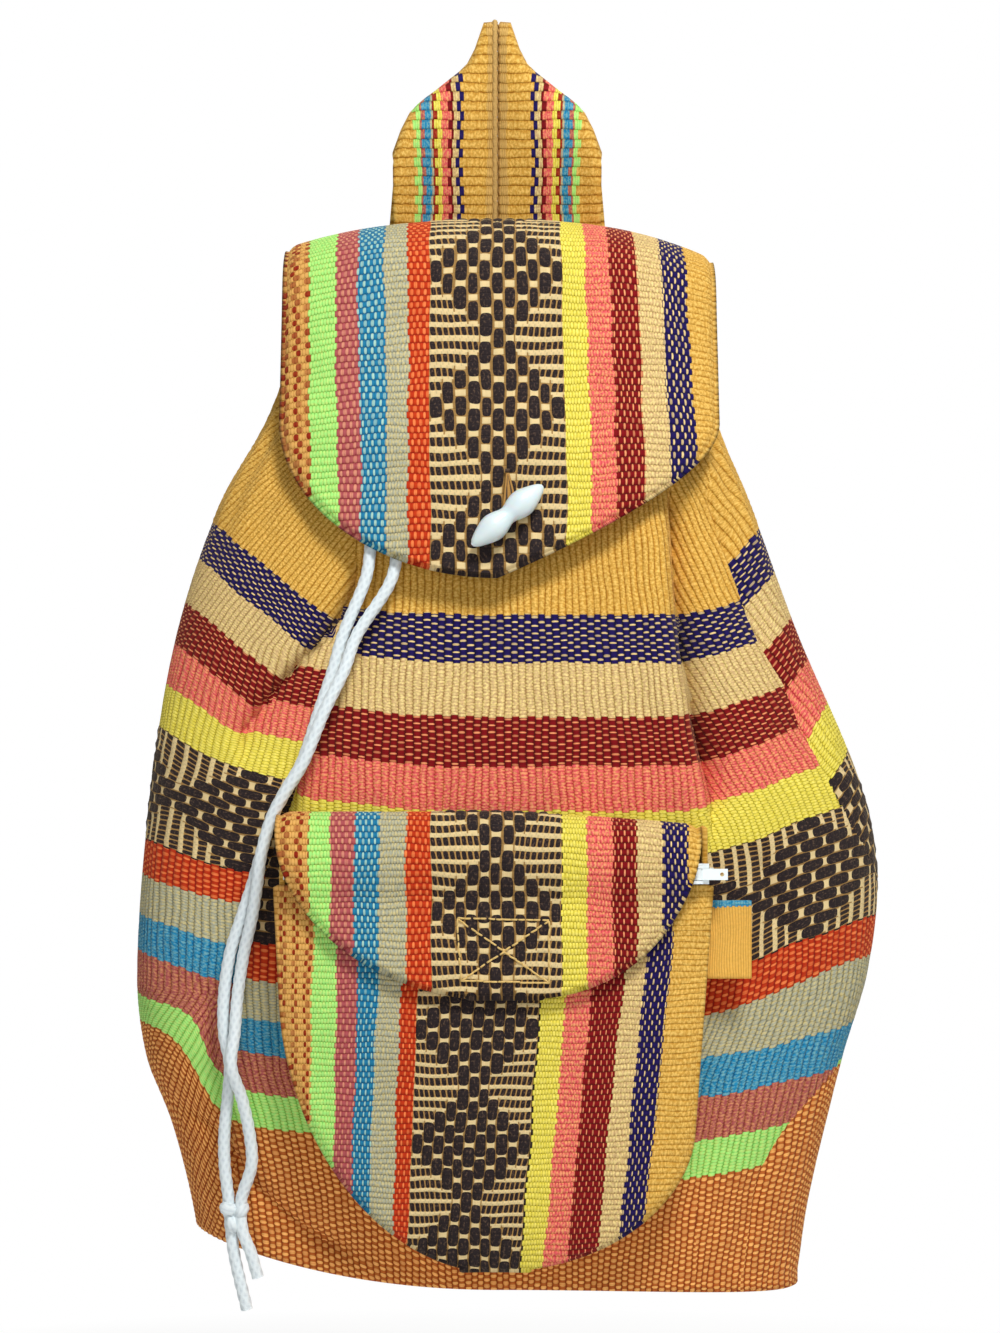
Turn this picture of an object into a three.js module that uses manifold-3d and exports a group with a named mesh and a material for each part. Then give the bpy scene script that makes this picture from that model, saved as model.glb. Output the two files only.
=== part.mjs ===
// A woven backpack: gathered body, top flap with a toggle, zipped front pocket, two straps and a drawstring.
// Millimetres, +Z up, front towards -Y. The origin is the point that the straps hang from.
import * as THREE from "three";
import Module from "manifold-3d";
import { mergeVertices } from "three/addons/utils/BufferGeometryUtils.js";

// Cloth and seams
const clothThickness = 2.5;
const gussetThickness = 2.2;
const seamGap = 0.5;
const layerStep = clothThickness + seamGap;
const backEase = 0.6;

// Body: drops are measured down from the hanging point, reaches from the hanging line
const mouthFrontDrop = 150;
const mouthBackDrop = 118;
const baseDrop = 567;
const baseLeftLift = 21;
const baseRightSag = 6;
const bodyLeftReach = 160;
const bodyRightReach = 169;
const bodyFrontReach = 113;
const bodyBackReach = 1;
const mouthCentreReach = 36;
const sideReach = 50;
const cornerPower = 2.6;
const backSeamAngle = THREE.MathUtils.degToRad(58);
const backOverlap = 8;
const baseSideInset = 6;
const baseEdgeInset = 3.6;

// Gathers below the mouth and creases in the front
const gatherCount = 22;
const gatherReach = 3.5;
const gatherShare = 0.3;
const creaseDepth = 6;
const creaseWidth = 9;

// Mouth hem and drawstring
const hemWidth = 11;
const hemHeight = 13;
const hemWall = 2;
const hemLift = 0.8;
const hemSegments = 48;
const cordDiameter = 5.4;
const ringCordDiameter = 5;
const touchGap = 0.35;
const knotWidth = 11.5;
const knotDepth = 9.5;
const knotHeight = 12;

// Top flap
const flapLeftReach = 95;
const flapRightReach = 97;
const flapTopDrop = 94.5;
const flapTipDrop = 258.5;
const flapRoundStart = 183;
const flapStandOff = 13.5;
const flapCurl = 14;
const flapCornerDroop = 17;
const flapSeamDrop = 142;
const flapFrontShares = [0.308, 0.46, 0.643, 0.826, 1];

// Straps
const strapWidth = 46;
const strapSplit = 3;
const strapThickness = 2.8;
const strapFoldRadius = 7;
const strapSeamDrop = 138;
const strapSeamY = 3.8;
const strapEndDrop = 532;
const strapSpread = 42;
const strapBow = 20;
const strapOuterFall = 60;
const strapColumns = 6;
const strapRows = 40;

// Pocket
const pocketPlane = 126;
const pocketBulge = 8;
const pocketTopDrop = 392;
const pocketTipDrop = 554.5;
const pocketLeftReach = 94;
const pocketRightReach = 91;
const pocketLeftTaper = 8;
const pocketRightTaper = 12;
const pocketLeftRound = 114;
const pocketRightRound = 58;
const gussetTopDrop = 367;
const gussetInset = 2.5;

// Pocket flap and touch fastener
const pocketFlapSeamDrop = 362;
const pocketFlapTipDrop = 437;
const pocketFlapRoundStart = 366;
const pocketFlapLeftReach = 89;
const pocketFlapRightReach = 85;
const pocketFlapTilt = 6;
const pocketFlapShares = [0.133, 0.4, 0.711, 1];
const pocketFlapLayStart = 0.5;
const pocketFlapLayEnd = 0.64;
const fastenerThickness = 1.2;
const fastenerWidth = 38;
const fastenerHeight = 25;
const fastenerDrop = 417;
const fastenerGap = 0.4;
const pocketFlapStep = clothThickness + 2 * fastenerThickness + 3 * fastenerGap + 0.1;

// Zip
const zipDrop = 386;
const tapeThickness = 0.8;
const tapeHalfLength = 85.5;
const tapeSplit = 0.6;
const tapeSeamDrop = 369;
const tapeUnderlap = 6;
const coilThickness = 2.4;
const coilHeight = 5;
const coilGap = 0.3;
const coilHalfLength = 90;
const stopLength = 1.6;
const stopProud = 1.6;
const sliderLength = 8;
const sliderHeight = 8.6;
const sliderPlate = 1.6;
const sliderRun = 0.4;
const sliderRestX = 86;
const earThickness = 1.2;
const barRadius = 0.7;
const eyeRadius = 1.9;
const eyeClearance = 0.3;
const pullLength = 12.5;
const pullThickness = 1.5;
const pullWidth = 4.7;
const pullHoleRadius = 0.9;
const pullHoleInset = 2.4;
const pivotOffset = -0.8;

// Side label
const labelReach = 19;
const labelHeight = 33;
const labelTopDrop = 398;
const labelLeaf = 0.7;
const labelGap = 0.9;
const labelRootX = 89.7;
const labelY = 120.5;

// Toggle and its thread
const toggleLength = 40;
const toggleLobeRadius = 4.9;
const toggleWaistRadius = 3.2;
const toggleTipRadius = 1.6;
const toggleX = 4.5;
const toggleDrop = 234.5;
const toggleTurn = THREE.MathUtils.degToRad(41);
const toggleHoleRadius = 1.5;
const threadRadius = 0.8;
const toggleClearance = 2 * touchGap + 2 * threadRadius;
const threadStitchRise = 21;

const wasm = await Module();
wasm.setup();

const { lerp, clamp, smoothstep } = THREE.MathUtils;

// Shared tools

// A smooth curve through stations [position, value], flat beyond both ends.
function smoothProfile(stations) {
  const slopeAt = (k) => {
    const before = stations[Math.max(0, k - 1)];
    const after = stations[Math.min(stations.length - 1, k + 1)];
    return (after[1] - before[1]) / (after[0] - before[0]);
  };
  return (position) => {
    const last = stations.length - 1;
    if (position <= stations[0][0]) return stations[0][1];
    if (position >= stations[last][0]) return stations[last][1];
    const k = stations.findIndex((station) => station[0] > position) - 1;
    const [start, startValue] = stations[k];
    const [end, endValue] = stations[k + 1];
    const span = end - start;
    const t = (position - start) / span;
    const rise = span * (t * (1 - t) * (1 - t) * slopeAt(k) - t * t * (1 - t) * slopeAt(k + 1));
    return lerp(startValue, endValue, t * t * (3 - 2 * t)) + rise;
  };
}

function signedPower(value, power) {
  return Math.sign(value) * Math.abs(value) ** power;
}

// Builds a geometry from corners and triangles, turned so that its faces point out.
function closedGeometry(corners, triangles) {
  let volume = 0;
  const cross = new THREE.Vector3();
  for (const [a, b, c] of triangles) {
    volume += corners[a].dot(cross.crossVectors(corners[b], corners[c]));
  }
  const outward = volume < 0 ? triangles.map(([a, b, c]) => [a, c, b]) : triangles;
  const geometry = new THREE.BufferGeometry().setFromPoints(corners);
  geometry.setIndex(outward.flat());
  geometry.computeVertexNormals();
  return geometry;
}

function quad(a, b, c, d) {
  return [[a, b, c], [a, c, d]];
}

function gridNormal(grid, i, j) {
  const columns = grid.length - 1;
  const rows = grid[0].length - 1;
  const across = grid[Math.min(columns, i + 1)][j].clone().sub(grid[Math.max(0, i - 1)][j]);
  const along = grid[i][Math.min(rows, j + 1)].clone().sub(grid[i][Math.max(0, j - 1)]);
  return across.cross(along).normalize();
}

// A cloth sheet: a grid of points on its middle surface, thickened to both sides and closed round its rim.
function clothSheet(middle, columns, rows, thickness) {
  const grid = [];
  for (let i = 0; i <= columns; i++) {
    grid.push([]);
    for (let j = 0; j <= rows; j++) grid[i].push(middle(i / columns, j / rows));
  }
  const corners = [];
  for (const side of [0.5, -0.5]) {
    for (let i = 0; i <= columns; i++) {
      for (let j = 0; j <= rows; j++) {
        const offset = gridNormal(grid, i, j).multiplyScalar(side * thickness);
        corners.push(offset.add(grid[i][j]));
      }
    }
  }
  const back = (columns + 1) * (rows + 1);
  const at = (i, j) => i * (rows + 1) + j;
  const triangles = [];
  for (let i = 0; i < columns; i++) {
    for (let j = 0; j < rows; j++) {
      const face = [at(i, j), at(i + 1, j), at(i + 1, j + 1), at(i, j + 1)];
      triangles.push(...quad(...face));
      triangles.push(...quad(...face.map((k) => k + back).reverse()));
    }
    triangles.push(...quad(at(i + 1, 0), at(i, 0), at(i, 0) + back, at(i + 1, 0) + back));
    triangles.push(...quad(at(i, rows), at(i + 1, rows), at(i + 1, rows) + back, at(i, rows) + back));
  }
  for (let j = 0; j < rows; j++) {
    triangles.push(...quad(at(0, j), at(0, j + 1), at(0, j + 1) + back, at(0, j) + back));
    const end = columns;
    triangles.push(...quad(at(end, j + 1), at(end, j), at(end, j) + back, at(end, j + 1) + back));
  }
  return closedGeometry(corners, triangles);
}

// A closed ring: the same closed section repeated all the way round.
function closedRing(sectionAt, segments) {
  const sections = [];
  for (let k = 0; k < segments; k++) sections.push(sectionAt((2 * Math.PI * k) / segments));
  const size = sections[0].length;
  const triangles = [];
  for (let k = 0; k < segments; k++) {
    const next = (k + 1) % segments;
    for (let m = 0; m < size; m++) {
      const after = (m + 1) % size;
      triangles.push(...quad(k * size + m, next * size + m, next * size + after, k * size + after));
    }
  }
  return closedGeometry(sections.flat(), triangles);
}

// A round cord along a smooth curve through hand-chosen points.
function cordGeometry(points, radius, steps) {
  const path = new THREE.CatmullRomCurve3(points.map((p) => new THREE.Vector3(...p)), false, "centripetal");
  const section = new THREE.Shape(new THREE.EllipseCurve(0, 0, radius, radius).getPoints(8).slice(0, 8));
  return new THREE.ExtrudeGeometry(section, { extrudePath: path, steps });
}

// Solids for joining and cutting
function solidOf(geometry) {
  const plain = geometry.clone();
  plain.deleteAttribute("normal");
  plain.deleteAttribute("uv");
  const merged = mergeVertices(plain, 1e-4);
  const vertProperties = merged.getAttribute("position").array;
  const triVerts = new Uint32Array(merged.index.array);
  return new wasm.Manifold(new wasm.Mesh({ numProp: 3, vertProperties, triVerts }));
}

function geometryOf(solid) {
  const mesh = solid.getMesh();
  const geometry = new THREE.BufferGeometry();
  geometry.setAttribute("position", new THREE.BufferAttribute(mesh.vertProperties, 3));
  geometry.setIndex(new THREE.BufferAttribute(mesh.triVerts, 1));
  geometry.computeVertexNormals();
  return geometry;
}

function boxBetween(low, high) {
  const size = high.map((value, axis) => value - low[axis]);
  const centre = high.map((value, axis) => (value + low[axis]) / 2);
  return new THREE.BoxGeometry(...size).translate(...centre);
}

// Form of the body

const bodyLeft = smoothProfile([
  [0, 0.55], [0.09, 0.64], [0.18, 0.77], [0.32, 0.89], [0.48, 0.96],
  [0.68, 1], [0.77, 0.975], [0.84, 0.905], [0.92, 0.85], [1, 0.815],
]);
const bodyRight = smoothProfile([
  [0, 0.53], [0.09, 0.575], [0.18, 0.665], [0.32, 0.79], [0.48, 0.955],
  [0.58, 1], [0.68, 0.975], [0.77, 0.91], [0.92, 0.82], [1, 0.79],
]);
const bodyFront = smoothProfile([
  [0, 0.57], [0.12, 0.73], [0.24, 0.83], [0.41, 0.94], [0.6, 1], [0.79, 1], [0.94, 0.955], [1, 0.92],
]);
const bodyBack = smoothProfile([[0, -9], [0.12, -4], [0.48, 0], [0.84, -1], [1, -5]]);

// The body's outline and depth at one height
function sectionAt(z) {
  const share = clamp((-mouthFrontDrop - z) / (baseDrop - mouthFrontDrop), 0, 1);
  return {
    share,
    left: bodyLeftReach * bodyLeft(share),
    right: bodyRightReach * bodyRight(share),
    front: -bodyFrontReach * bodyFront(share),
    back: bodyBackReach + bodyBack(share),
    side: -lerp(mouthCentreReach, sideReach, smoothstep(share, 0, 0.3)),
  };
}

function roundShare(x, section) {
  const reach = x < 0 ? section.left : section.right;
  const share = Math.min(1, Math.abs(x) / reach);
  return (1 - share ** cornerPower) ** (1 / cornerPower);
}

function frontY(x, z) {
  const section = sectionAt(z);
  return section.side + (section.front - section.side) * roundShare(x, section);
}

function backY(x, z) {
  const section = sectionAt(z);
  return section.side + (section.back - section.side) * roundShare(x, section);
}

function baseZ(x) {
  const reach = sectionAt(-baseDrop);
  return x < 0 ? -baseDrop + baseLeftLift * (x / reach.left) ** 2 : -baseDrop - baseRightSag * (x / reach.right) ** 2;
}

function rimZ(angle) {
  return -lerp(mouthFrontDrop, mouthBackDrop, 0.5 + 0.5 * Math.sin(angle));
}

// A point of the body's outer loop: angle 0 is the right side, 270 degrees the front.
function bodyPoint(angle, z) {
  const section = sectionAt(z);
  const x = signedPower(Math.cos(angle), 2 / cornerPower);
  const y = signedPower(Math.sin(angle), 2 / cornerPower);
  const width = x < 0 ? section.left : section.right;
  const depth = y < 0 ? section.side - section.front : section.back - section.side;
  return new THREE.Vector3(x * width, section.side + y * depth, z);
}

function gather(angle, z) {
  const frontness = smoothstep(-Math.sin(angle), -0.6, 0.3);
  const fade = clamp(1 - sectionAt(z).share / gatherShare, 0, 1);
  return gatherReach * frontness * fade ** 1.5 * Math.cos(gatherCount * angle);
}

// Two creases run down the front: one beside the drawstring, one on the right.
const leftCrease = smoothProfile([[-480, -114], [-435, -112], [-391, -101], [-343, -84], [-269, -62]]);
const rightCrease = smoothProfile([[-357, 92], [-320, 84], [-276, 78], [-226, 75]]);

function crease(x, z) {
  const left = Math.exp(-Math.abs(x - leftCrease(z)) / creaseWidth) * smoothstep(-z, 230, 290);
  const right = Math.exp(-Math.abs(x - rightCrease(z)) / creaseWidth) * smoothstep(-z, 200, 250);
  const leftFade = 1 - smoothstep(-z, 440, 520);
  const rightFade = 1 - smoothstep(-z, 330, 375);
  return creaseDepth * (left * leftFade + right * rightFade);
}

function frontPanelPoint(u, v) {
  const angle = lerp(Math.PI - backSeamAngle, 2 * Math.PI + backSeamAngle, u);
  const foot = baseZ(bodyPoint(angle, -baseDrop).x);
  const z = lerp(rimZ(angle), foot, v);
  const point = bodyPoint(angle, z);
  const ripple = gather(angle, z);
  const frontness = Math.max(0, -Math.sin(angle));
  point.x += ripple * Math.cos(angle);
  point.y += ripple * Math.sin(angle) + crease(point.x, z) * frontness;
  return point;
}

function backSeamX(side, z) {
  return bodyPoint(side < 0 ? Math.PI - backSeamAngle : backSeamAngle, z).x + side * backOverlap;
}

// Height of the mouth's rim where it crosses the back at x
function backRimZ(x) {
  const section = sectionAt(-mouthFrontDrop);
  return rimZ(Math.asin(roundShare(x, section) ** (cornerPower / 2)));
}

function backPanelPoint(u, v) {
  const foot = lerp(baseZ(backSeamX(-1, -baseDrop)), baseZ(backSeamX(1, -baseDrop)), u);
  const top = backRimZ(lerp(backSeamX(-1, -mouthFrontDrop), backSeamX(1, -mouthFrontDrop), u));
  const z = lerp(top, foot, v);
  const x = lerp(backSeamX(-1, z), backSeamX(1, z), u);
  return new THREE.Vector3(x, backY(x, z) + layerStep + backEase, z);
}

function basePanelPoint(u, v) {
  const reach = sectionAt(-baseDrop);
  const x = lerp(-reach.left + baseSideInset, reach.right - baseSideInset, u);
  const z = baseZ(x) + clothThickness;
  const y = lerp(frontY(x, -baseDrop) + baseEdgeInset, backY(x, -baseDrop) - baseEdgeInset, v);
  return new THREE.Vector3(x, y, z);
}

// Mouth hem: a folded casing, open below, that holds the drawstring
function mouthFrame(angle) {
  const step = 0.02;
  const here = bodyPoint(angle, rimZ(angle));
  const before = bodyPoint(angle - step, rimZ(angle - step));
  const after = bodyPoint(angle + step, rimZ(angle + step));
  const outward = new THREE.Vector3(after.y - before.y, before.x - after.x, 0).normalize();
  return { here, outward };
}

function ringSection(angle, outline) {
  const { here, outward } = mouthFrame(angle);
  const ripple = gather(angle, here.z) / 2;
  return outline.map(([out, up]) => {
    const corner = here.clone().addScaledVector(outward, out + ripple);
    corner.z += up;
    return corner;
  });
}

function hemGeometry() {
  const outer = hemWidth / 2;
  const inner = outer - hemWall;
  const top = hemLift + hemHeight;
  const outline = [
    [outer, hemLift], [outer, top], [-outer, top], [-outer, hemLift],
    [-inner, hemLift], [-inner, top - hemWall], [inner, top - hemWall], [inner, hemLift],
  ];
  return closedRing((angle) => ringSection(angle, outline), hemSegments);
}

function ringCordGeometry() {
  const radius = ringCordDiameter / 2;
  const height = hemLift + hemHeight - hemWall - touchGap - radius;
  const outline = [];
  for (let k = 0; k < 8; k++) {
    const turn = (2 * Math.PI * k) / 8;
    outline.push([radius * Math.cos(turn), height + radius * Math.sin(turn)]);
  }
  return closedRing((angle) => ringSection(angle, outline), hemSegments);
}

// Top flap: sewn to the back, folded over the mouth, round at its tip
const flapBackY = backY(0, -mouthBackDrop) + 2 * (layerStep + backEase);
const flapHemY = backY(0, -mouthBackDrop) + hemWidth / 2 + seamGap + clothThickness / 2;

const flapSpine = new THREE.SplineCurve([
  new THREE.Vector2(flapBackY, -flapSeamDrop),
  new THREE.Vector2(flapBackY, -flapSeamDrop + 13),
  new THREE.Vector2(flapHemY + 0.6, -flapTopDrop - 21),
  new THREE.Vector2(flapHemY + 0.4, -flapTopDrop - 9.5),
  new THREE.Vector2(flapHemY - 7, -flapTopDrop - 2),
  new THREE.Vector2(flapHemY - 23, -flapTopDrop),
  new THREE.Vector2(frontY(0, -mouthFrontDrop) + 18, -flapTopDrop - 5),
  new THREE.Vector2(frontY(0, -mouthFrontDrop) - 2, -flapTopDrop - 19),
  ...flapFrontShares.map(flapFrontPoint),
]);

function flapFrontPoint(share) {
  const drop = lerp(flapTopDrop, flapTipDrop, share);
  return new THREE.Vector2(frontY(0, -drop) - flapStandOff, -drop);
}

function flapReach(side, drop) {
  const share = clamp((drop - flapRoundStart) / (flapTipDrop - flapRoundStart), 0, 0.985);
  return side < 0 ? -flapLeftReach * (1 - share ** 2) ** 0.5 : flapRightReach * (1 - share ** 1.8);
}

function topFlapPoint(u, v) {
  const along = 1 - (1 - v) ** 1.35;
  const spine = flapSpine.getPointAt(along);
  const drop = along < 0.3 ? 0 : -spine.y;
  const x = lerp(flapReach(-1, drop), flapReach(1, drop), u);
  const edge = Math.abs(x) / (x < 0 ? flapLeftReach : flapRightReach);
  const curl = flapCurl * edge ** 3 * smoothstep(along, 0.2, 0.5);
  const droop = flapCornerDroop * edge ** 2.6 * (1 - along);
  return new THREE.Vector3(x, spine.x + curl, spine.y - droop);
}

// Straps: each rises behind the flap, folds over the hanging point and runs down the back
const strapContour = smoothProfile([[0, 0], [0.1, -1], [0.2, -16], [0.5, -29], [0.85, -43], [1, -strapOuterFall]]);

function strapPoint(side, u, v) {
  const frontEnd = 0.14;
  const foldEnd = 0.22;
  const reach = strapSplit / 2 + u * strapWidth;
  const foldZ = strapContour(u) + strapThickness / 2 - strapFoldRadius;
  if (v <= frontEnd) {
    const rise = v / frontEnd;
    const y = lerp(strapSeamY, -strapFoldRadius, smoothstep(rise, 0.3, 1));
    return new THREE.Vector3(side * reach, y, lerp(-strapSeamDrop, foldZ, rise));
  }
  if (v <= foldEnd) {
    const turn = (Math.PI * (v - frontEnd)) / (foldEnd - frontEnd);
    const y = -strapFoldRadius * Math.cos(turn);
    return new THREE.Vector3(side * reach, y, foldZ + strapFoldRadius * Math.sin(turn));
  }
  const fall = (v - foldEnd) / (1 - foldEnd);
  const x = side * (reach + strapSpread * fall);
  const z = lerp(foldZ, -strapEndDrop, fall);
  const endStep = layerStep + (clothThickness + strapThickness) / 2 + 2 * backEase;
  const endY = backY(x, -strapEndDrop) + endStep;
  const y = lerp(strapFoldRadius, endY, fall) + strapBow * Math.sin(Math.PI * fall) ** 0.8;
  return new THREE.Vector3(x, y, z);
}

// Pocket: a bulging front cloth on a gusset
function pocketReach(side, drop, inset) {
  const taper = clamp((drop - pocketTopDrop) / (pocketTipDrop - pocketTopDrop), 0, 1);
  const round = side < 0 ? pocketLeftRound : pocketRightRound;
  const tip = pocketTipDrop - inset;
  const share = clamp((drop - (tip - round)) / round, 0, 0.985);
  const straight = side < 0 ? pocketLeftReach - pocketLeftTaper * taper : pocketRightReach - pocketRightTaper * taper;
  return side * (straight - inset) * (1 - share ** 2) ** 0.5;
}

function pocketY(x, z) {
  const share = clamp((-z - pocketTopDrop) / (pocketTipDrop - pocketTopDrop), 0, 1);
  const left = pocketReach(-1, -z, 0);
  const right = pocketReach(1, -z, 0);
  const across = clamp((2 * (x - left)) / (right - left) - 1, -1, 1);
  return -pocketPlane - pocketBulge * (1 - across ** 2) * (1 - (2 * share - 1) ** 4);
}

function pocketFrontPoint(u, v) {
  const drop = lerp(pocketTopDrop, pocketTipDrop, 1 - (1 - v) ** 1.5);
  const x = lerp(pocketReach(-1, drop, 0), pocketReach(1, drop, 0), u);
  return new THREE.Vector3(x, pocketY(x, -drop), -drop);
}

function gussetPoint(u, v) {
  const side = u < 0.5 ? -1 : 1;
  const share = 1 - Math.abs(2 * u - 1);
  const drop = lerp(gussetTopDrop, pocketTipDrop - gussetInset, 1 - (1 - share) ** 1.5);
  const x = pocketReach(side, drop, gussetInset);
  const rear = frontY(x, -drop) - layerStep;
  const fore = -pocketPlane + clothThickness / 2 + seamGap;
  return new THREE.Vector3(x, lerp(rear, fore, v), -drop);
}

// Pocket flap: sewn to the body above the zip, arched out over it, then down the pocket front
const pocketSeamY = frontY(0, -pocketFlapSeamDrop) - layerStep;

const pocketFlapSpine = new THREE.SplineCurve([
  new THREE.Vector2(pocketSeamY, -pocketFlapSeamDrop),
  new THREE.Vector2(-pocketPlane - 1, -pocketFlapSeamDrop + 0.5),
  new THREE.Vector2(-pocketPlane - 8.5, -pocketFlapSeamDrop - 6),
  new THREE.Vector2(-pocketPlane - 11, -zipDrop + 4),
  ...pocketFlapShares.map(pocketFlapFront),
]);

function pocketFlapFront(share) {
  const drop = lerp(pocketTopDrop, pocketFlapTipDrop, share);
  return new THREE.Vector2(pocketY(0, -drop) - pocketFlapStep, -drop);
}

function pocketFlapReach(side, drop) {
  const share = clamp((drop - pocketFlapRoundStart) / (pocketFlapTipDrop - pocketFlapRoundStart), 0, 0.99);
  const round = 1 - share ** 1.7;
  return side < 0 ? -pocketFlapLeftReach * round ** 0.5 : pocketFlapRightReach * round ** 0.37;
}

function pocketFlapPoint(u, v) {
  const along = 1 - (1 - v) ** 1.3;
  const spine = pocketFlapSpine.getPointAt(along);
  const x = lerp(pocketFlapReach(-1, -spine.y), pocketFlapReach(1, -spine.y), u);
  const z = spine.y - pocketFlapTilt * Math.max(0, 2 * u - 1) ** 1.5 * (1 - along);
  const seam = frontY(x, z) - layerStep;
  const front = pocketY(x, z) - pocketFlapStep;
  const arch = lerp(seam, spine.x, smoothstep(along, 0, 0.16));
  return new THREE.Vector3(x, lerp(arch, front, smoothstep(along, pocketFlapLayStart, pocketFlapLayEnd)), z);
}

function fastenerPoint(step) {
  return (u, v) => {
    const x = lerp(-fastenerWidth / 2, fastenerWidth / 2, u);
    const z = -fastenerDrop + lerp(fastenerHeight / 2, -fastenerHeight / 2, v);
    return new THREE.Vector3(x, pocketY(x, z) - step, z);
  };
}

// Zip: two tapes, a coil, its stops, and a slider with a swinging pull
const tapeY = -pocketPlane + clothThickness / 2 + tapeThickness / 2 + coilGap;
const coilBackY = tapeY - tapeThickness / 2 - coilGap;
const coilFrontY = coilBackY - coilThickness;
const plateBackY = coilFrontY - sliderRun;
const plateFrontY = plateBackY - sliderPlate;
const barY = plateFrontY - eyeRadius - eyeClearance;
const pivotX = sliderRestX + pivotOffset;

function upperTapePoint(u, v) {
  const x = lerp(-tapeHalfLength, tapeHalfLength, u);
  const z = lerp(-zipDrop + tapeSplit / 2, -tapeSeamDrop, v);
  const seam = frontY(x, z) - clothThickness / 2 - seamGap - tapeThickness / 2;
  return new THREE.Vector3(x, lerp(tapeY, seam, v), z);
}

function lowerTapePoint(u, v) {
  const x = lerp(-tapeHalfLength, tapeHalfLength, u);
  const z = lerp(-zipDrop - tapeSplit / 2, -pocketTopDrop - tapeUnderlap, v);
  return new THREE.Vector3(x, tapeY, z);
}

function coilGeometry() {
  const low = [-coilHalfLength, coilFrontY, -zipDrop - coilHeight / 2];
  const high = [coilHalfLength, coilBackY, -zipDrop + coilHeight / 2];
  return boxBetween(low, high);
}

function stopGeometry(side) {
  const near = side * (coilHalfLength + touchGap);
  const far = side * (coilHalfLength + touchGap + stopLength);
  const low = [Math.min(near, far), coilFrontY - stopProud, -zipDrop - coilHeight / 2];
  const high = [Math.max(near, far), coilBackY, -zipDrop + coilHeight / 2];
  return boxBetween(low, high);
}

// The slider's channel wraps the coil from the front; two ears carry the bar of the pull.
function sliderGeometry() {
  const left = sliderRestX - sliderLength / 2;
  const right = sliderRestX + sliderLength / 2;
  const inner = coilHeight / 2 + sliderRun;
  const outer = sliderHeight / 2;
  const earInner = pullWidth / 2 + eyeClearance;
  const earOuter = earInner + earThickness;
  const plate = boxBetween([left, plateFrontY, -outer], [right, plateBackY, outer]);
  const lip = (side) => {
    const [low, high] = [side * inner, side * outer].sort((a, b) => a - b);
    return boxBetween([left, plateFrontY, low], [right, coilBackY - touchGap, high]);
  };
  const ear = (side) => {
    const [low, high] = [side * earInner, side * earOuter].sort((a, b) => a - b);
    const reach = barRadius + earThickness;
    return boxBetween([pivotX - reach, barY - reach, low], [pivotX + reach, plateFrontY + sliderPlate / 2, high]);
  };
  const bar = new THREE.CylinderGeometry(barRadius, barRadius, 2 * earOuter - earThickness, 12);
  bar.rotateX(Math.PI / 2).translate(pivotX, barY, 0);
  const pieces = [plate, lip(1), lip(-1), ear(1), ear(-1), bar].map(solidOf);
  return geometryOf(pieces.reduce((whole, piece) => whole.add(piece)));
}

function pullGeometry() {
  const tab = boxBetween([0, -pullThickness / 2, -pullWidth / 2], [pullLength, pullThickness / 2, pullWidth / 2]);
  const eye = new THREE.CylinderGeometry(eyeRadius, eyeRadius, pullWidth, 16).rotateX(Math.PI / 2);
  const boreRadius = barRadius + eyeClearance;
  const bore = new THREE.CylinderGeometry(boreRadius, boreRadius, 2 * pullWidth, 16).rotateX(Math.PI / 2);
  const hole = new THREE.CylinderGeometry(pullHoleRadius, pullHoleRadius, 4 * pullThickness, 12);
  hole.translate(pullLength - pullHoleInset, 0, 0);
  return geometryOf(solidOf(tab).add(solidOf(eye)).subtract(solidOf(bore)).subtract(solidOf(hole)));
}

// Side label: a tape folded in half, its ends in the pocket's side seam
function labelGeometry() {
  const half = labelLeaf + labelGap / 2;
  const fold = labelRootX + labelReach - half;
  const outline = new THREE.Shape();
  outline.moveTo(labelRootX, -half);
  outline.lineTo(fold, -half);
  outline.absarc(fold, 0, half, -Math.PI / 2, Math.PI / 2, false);
  outline.lineTo(labelRootX, half);
  outline.lineTo(labelRootX, labelGap / 2);
  outline.lineTo(fold, labelGap / 2);
  outline.absarc(fold, 0, labelGap / 2, Math.PI / 2, -Math.PI / 2, true);
  outline.lineTo(labelRootX, -labelGap / 2);
  const tape = new THREE.ExtrudeGeometry(outline, { depth: labelHeight, bevelEnabled: false, curveSegments: 5 });
  return tape.translate(0, -labelY, -labelTopDrop - labelHeight);
}

// Toggle: a turned double cone with a blind hole for its thread
function flapFaceY(drop) {
  return frontY(0, -drop) - flapStandOff - clothThickness / 2;
}

const flapSlope = (flapFaceY(toggleDrop - 10) - flapFaceY(toggleDrop + 10)) / 20;
const flapNormal = new THREE.Vector3(0, -1, flapSlope).normalize();
const flapUp = new THREE.Vector3(0, flapSlope, 1).normalize();
const toggleSeat = new THREE.Vector3(toggleX, flapFaceY(toggleDrop), -toggleDrop);
const toggleCentre = toggleSeat.clone().addScaledVector(flapNormal, toggleClearance + toggleLobeRadius);

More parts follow.
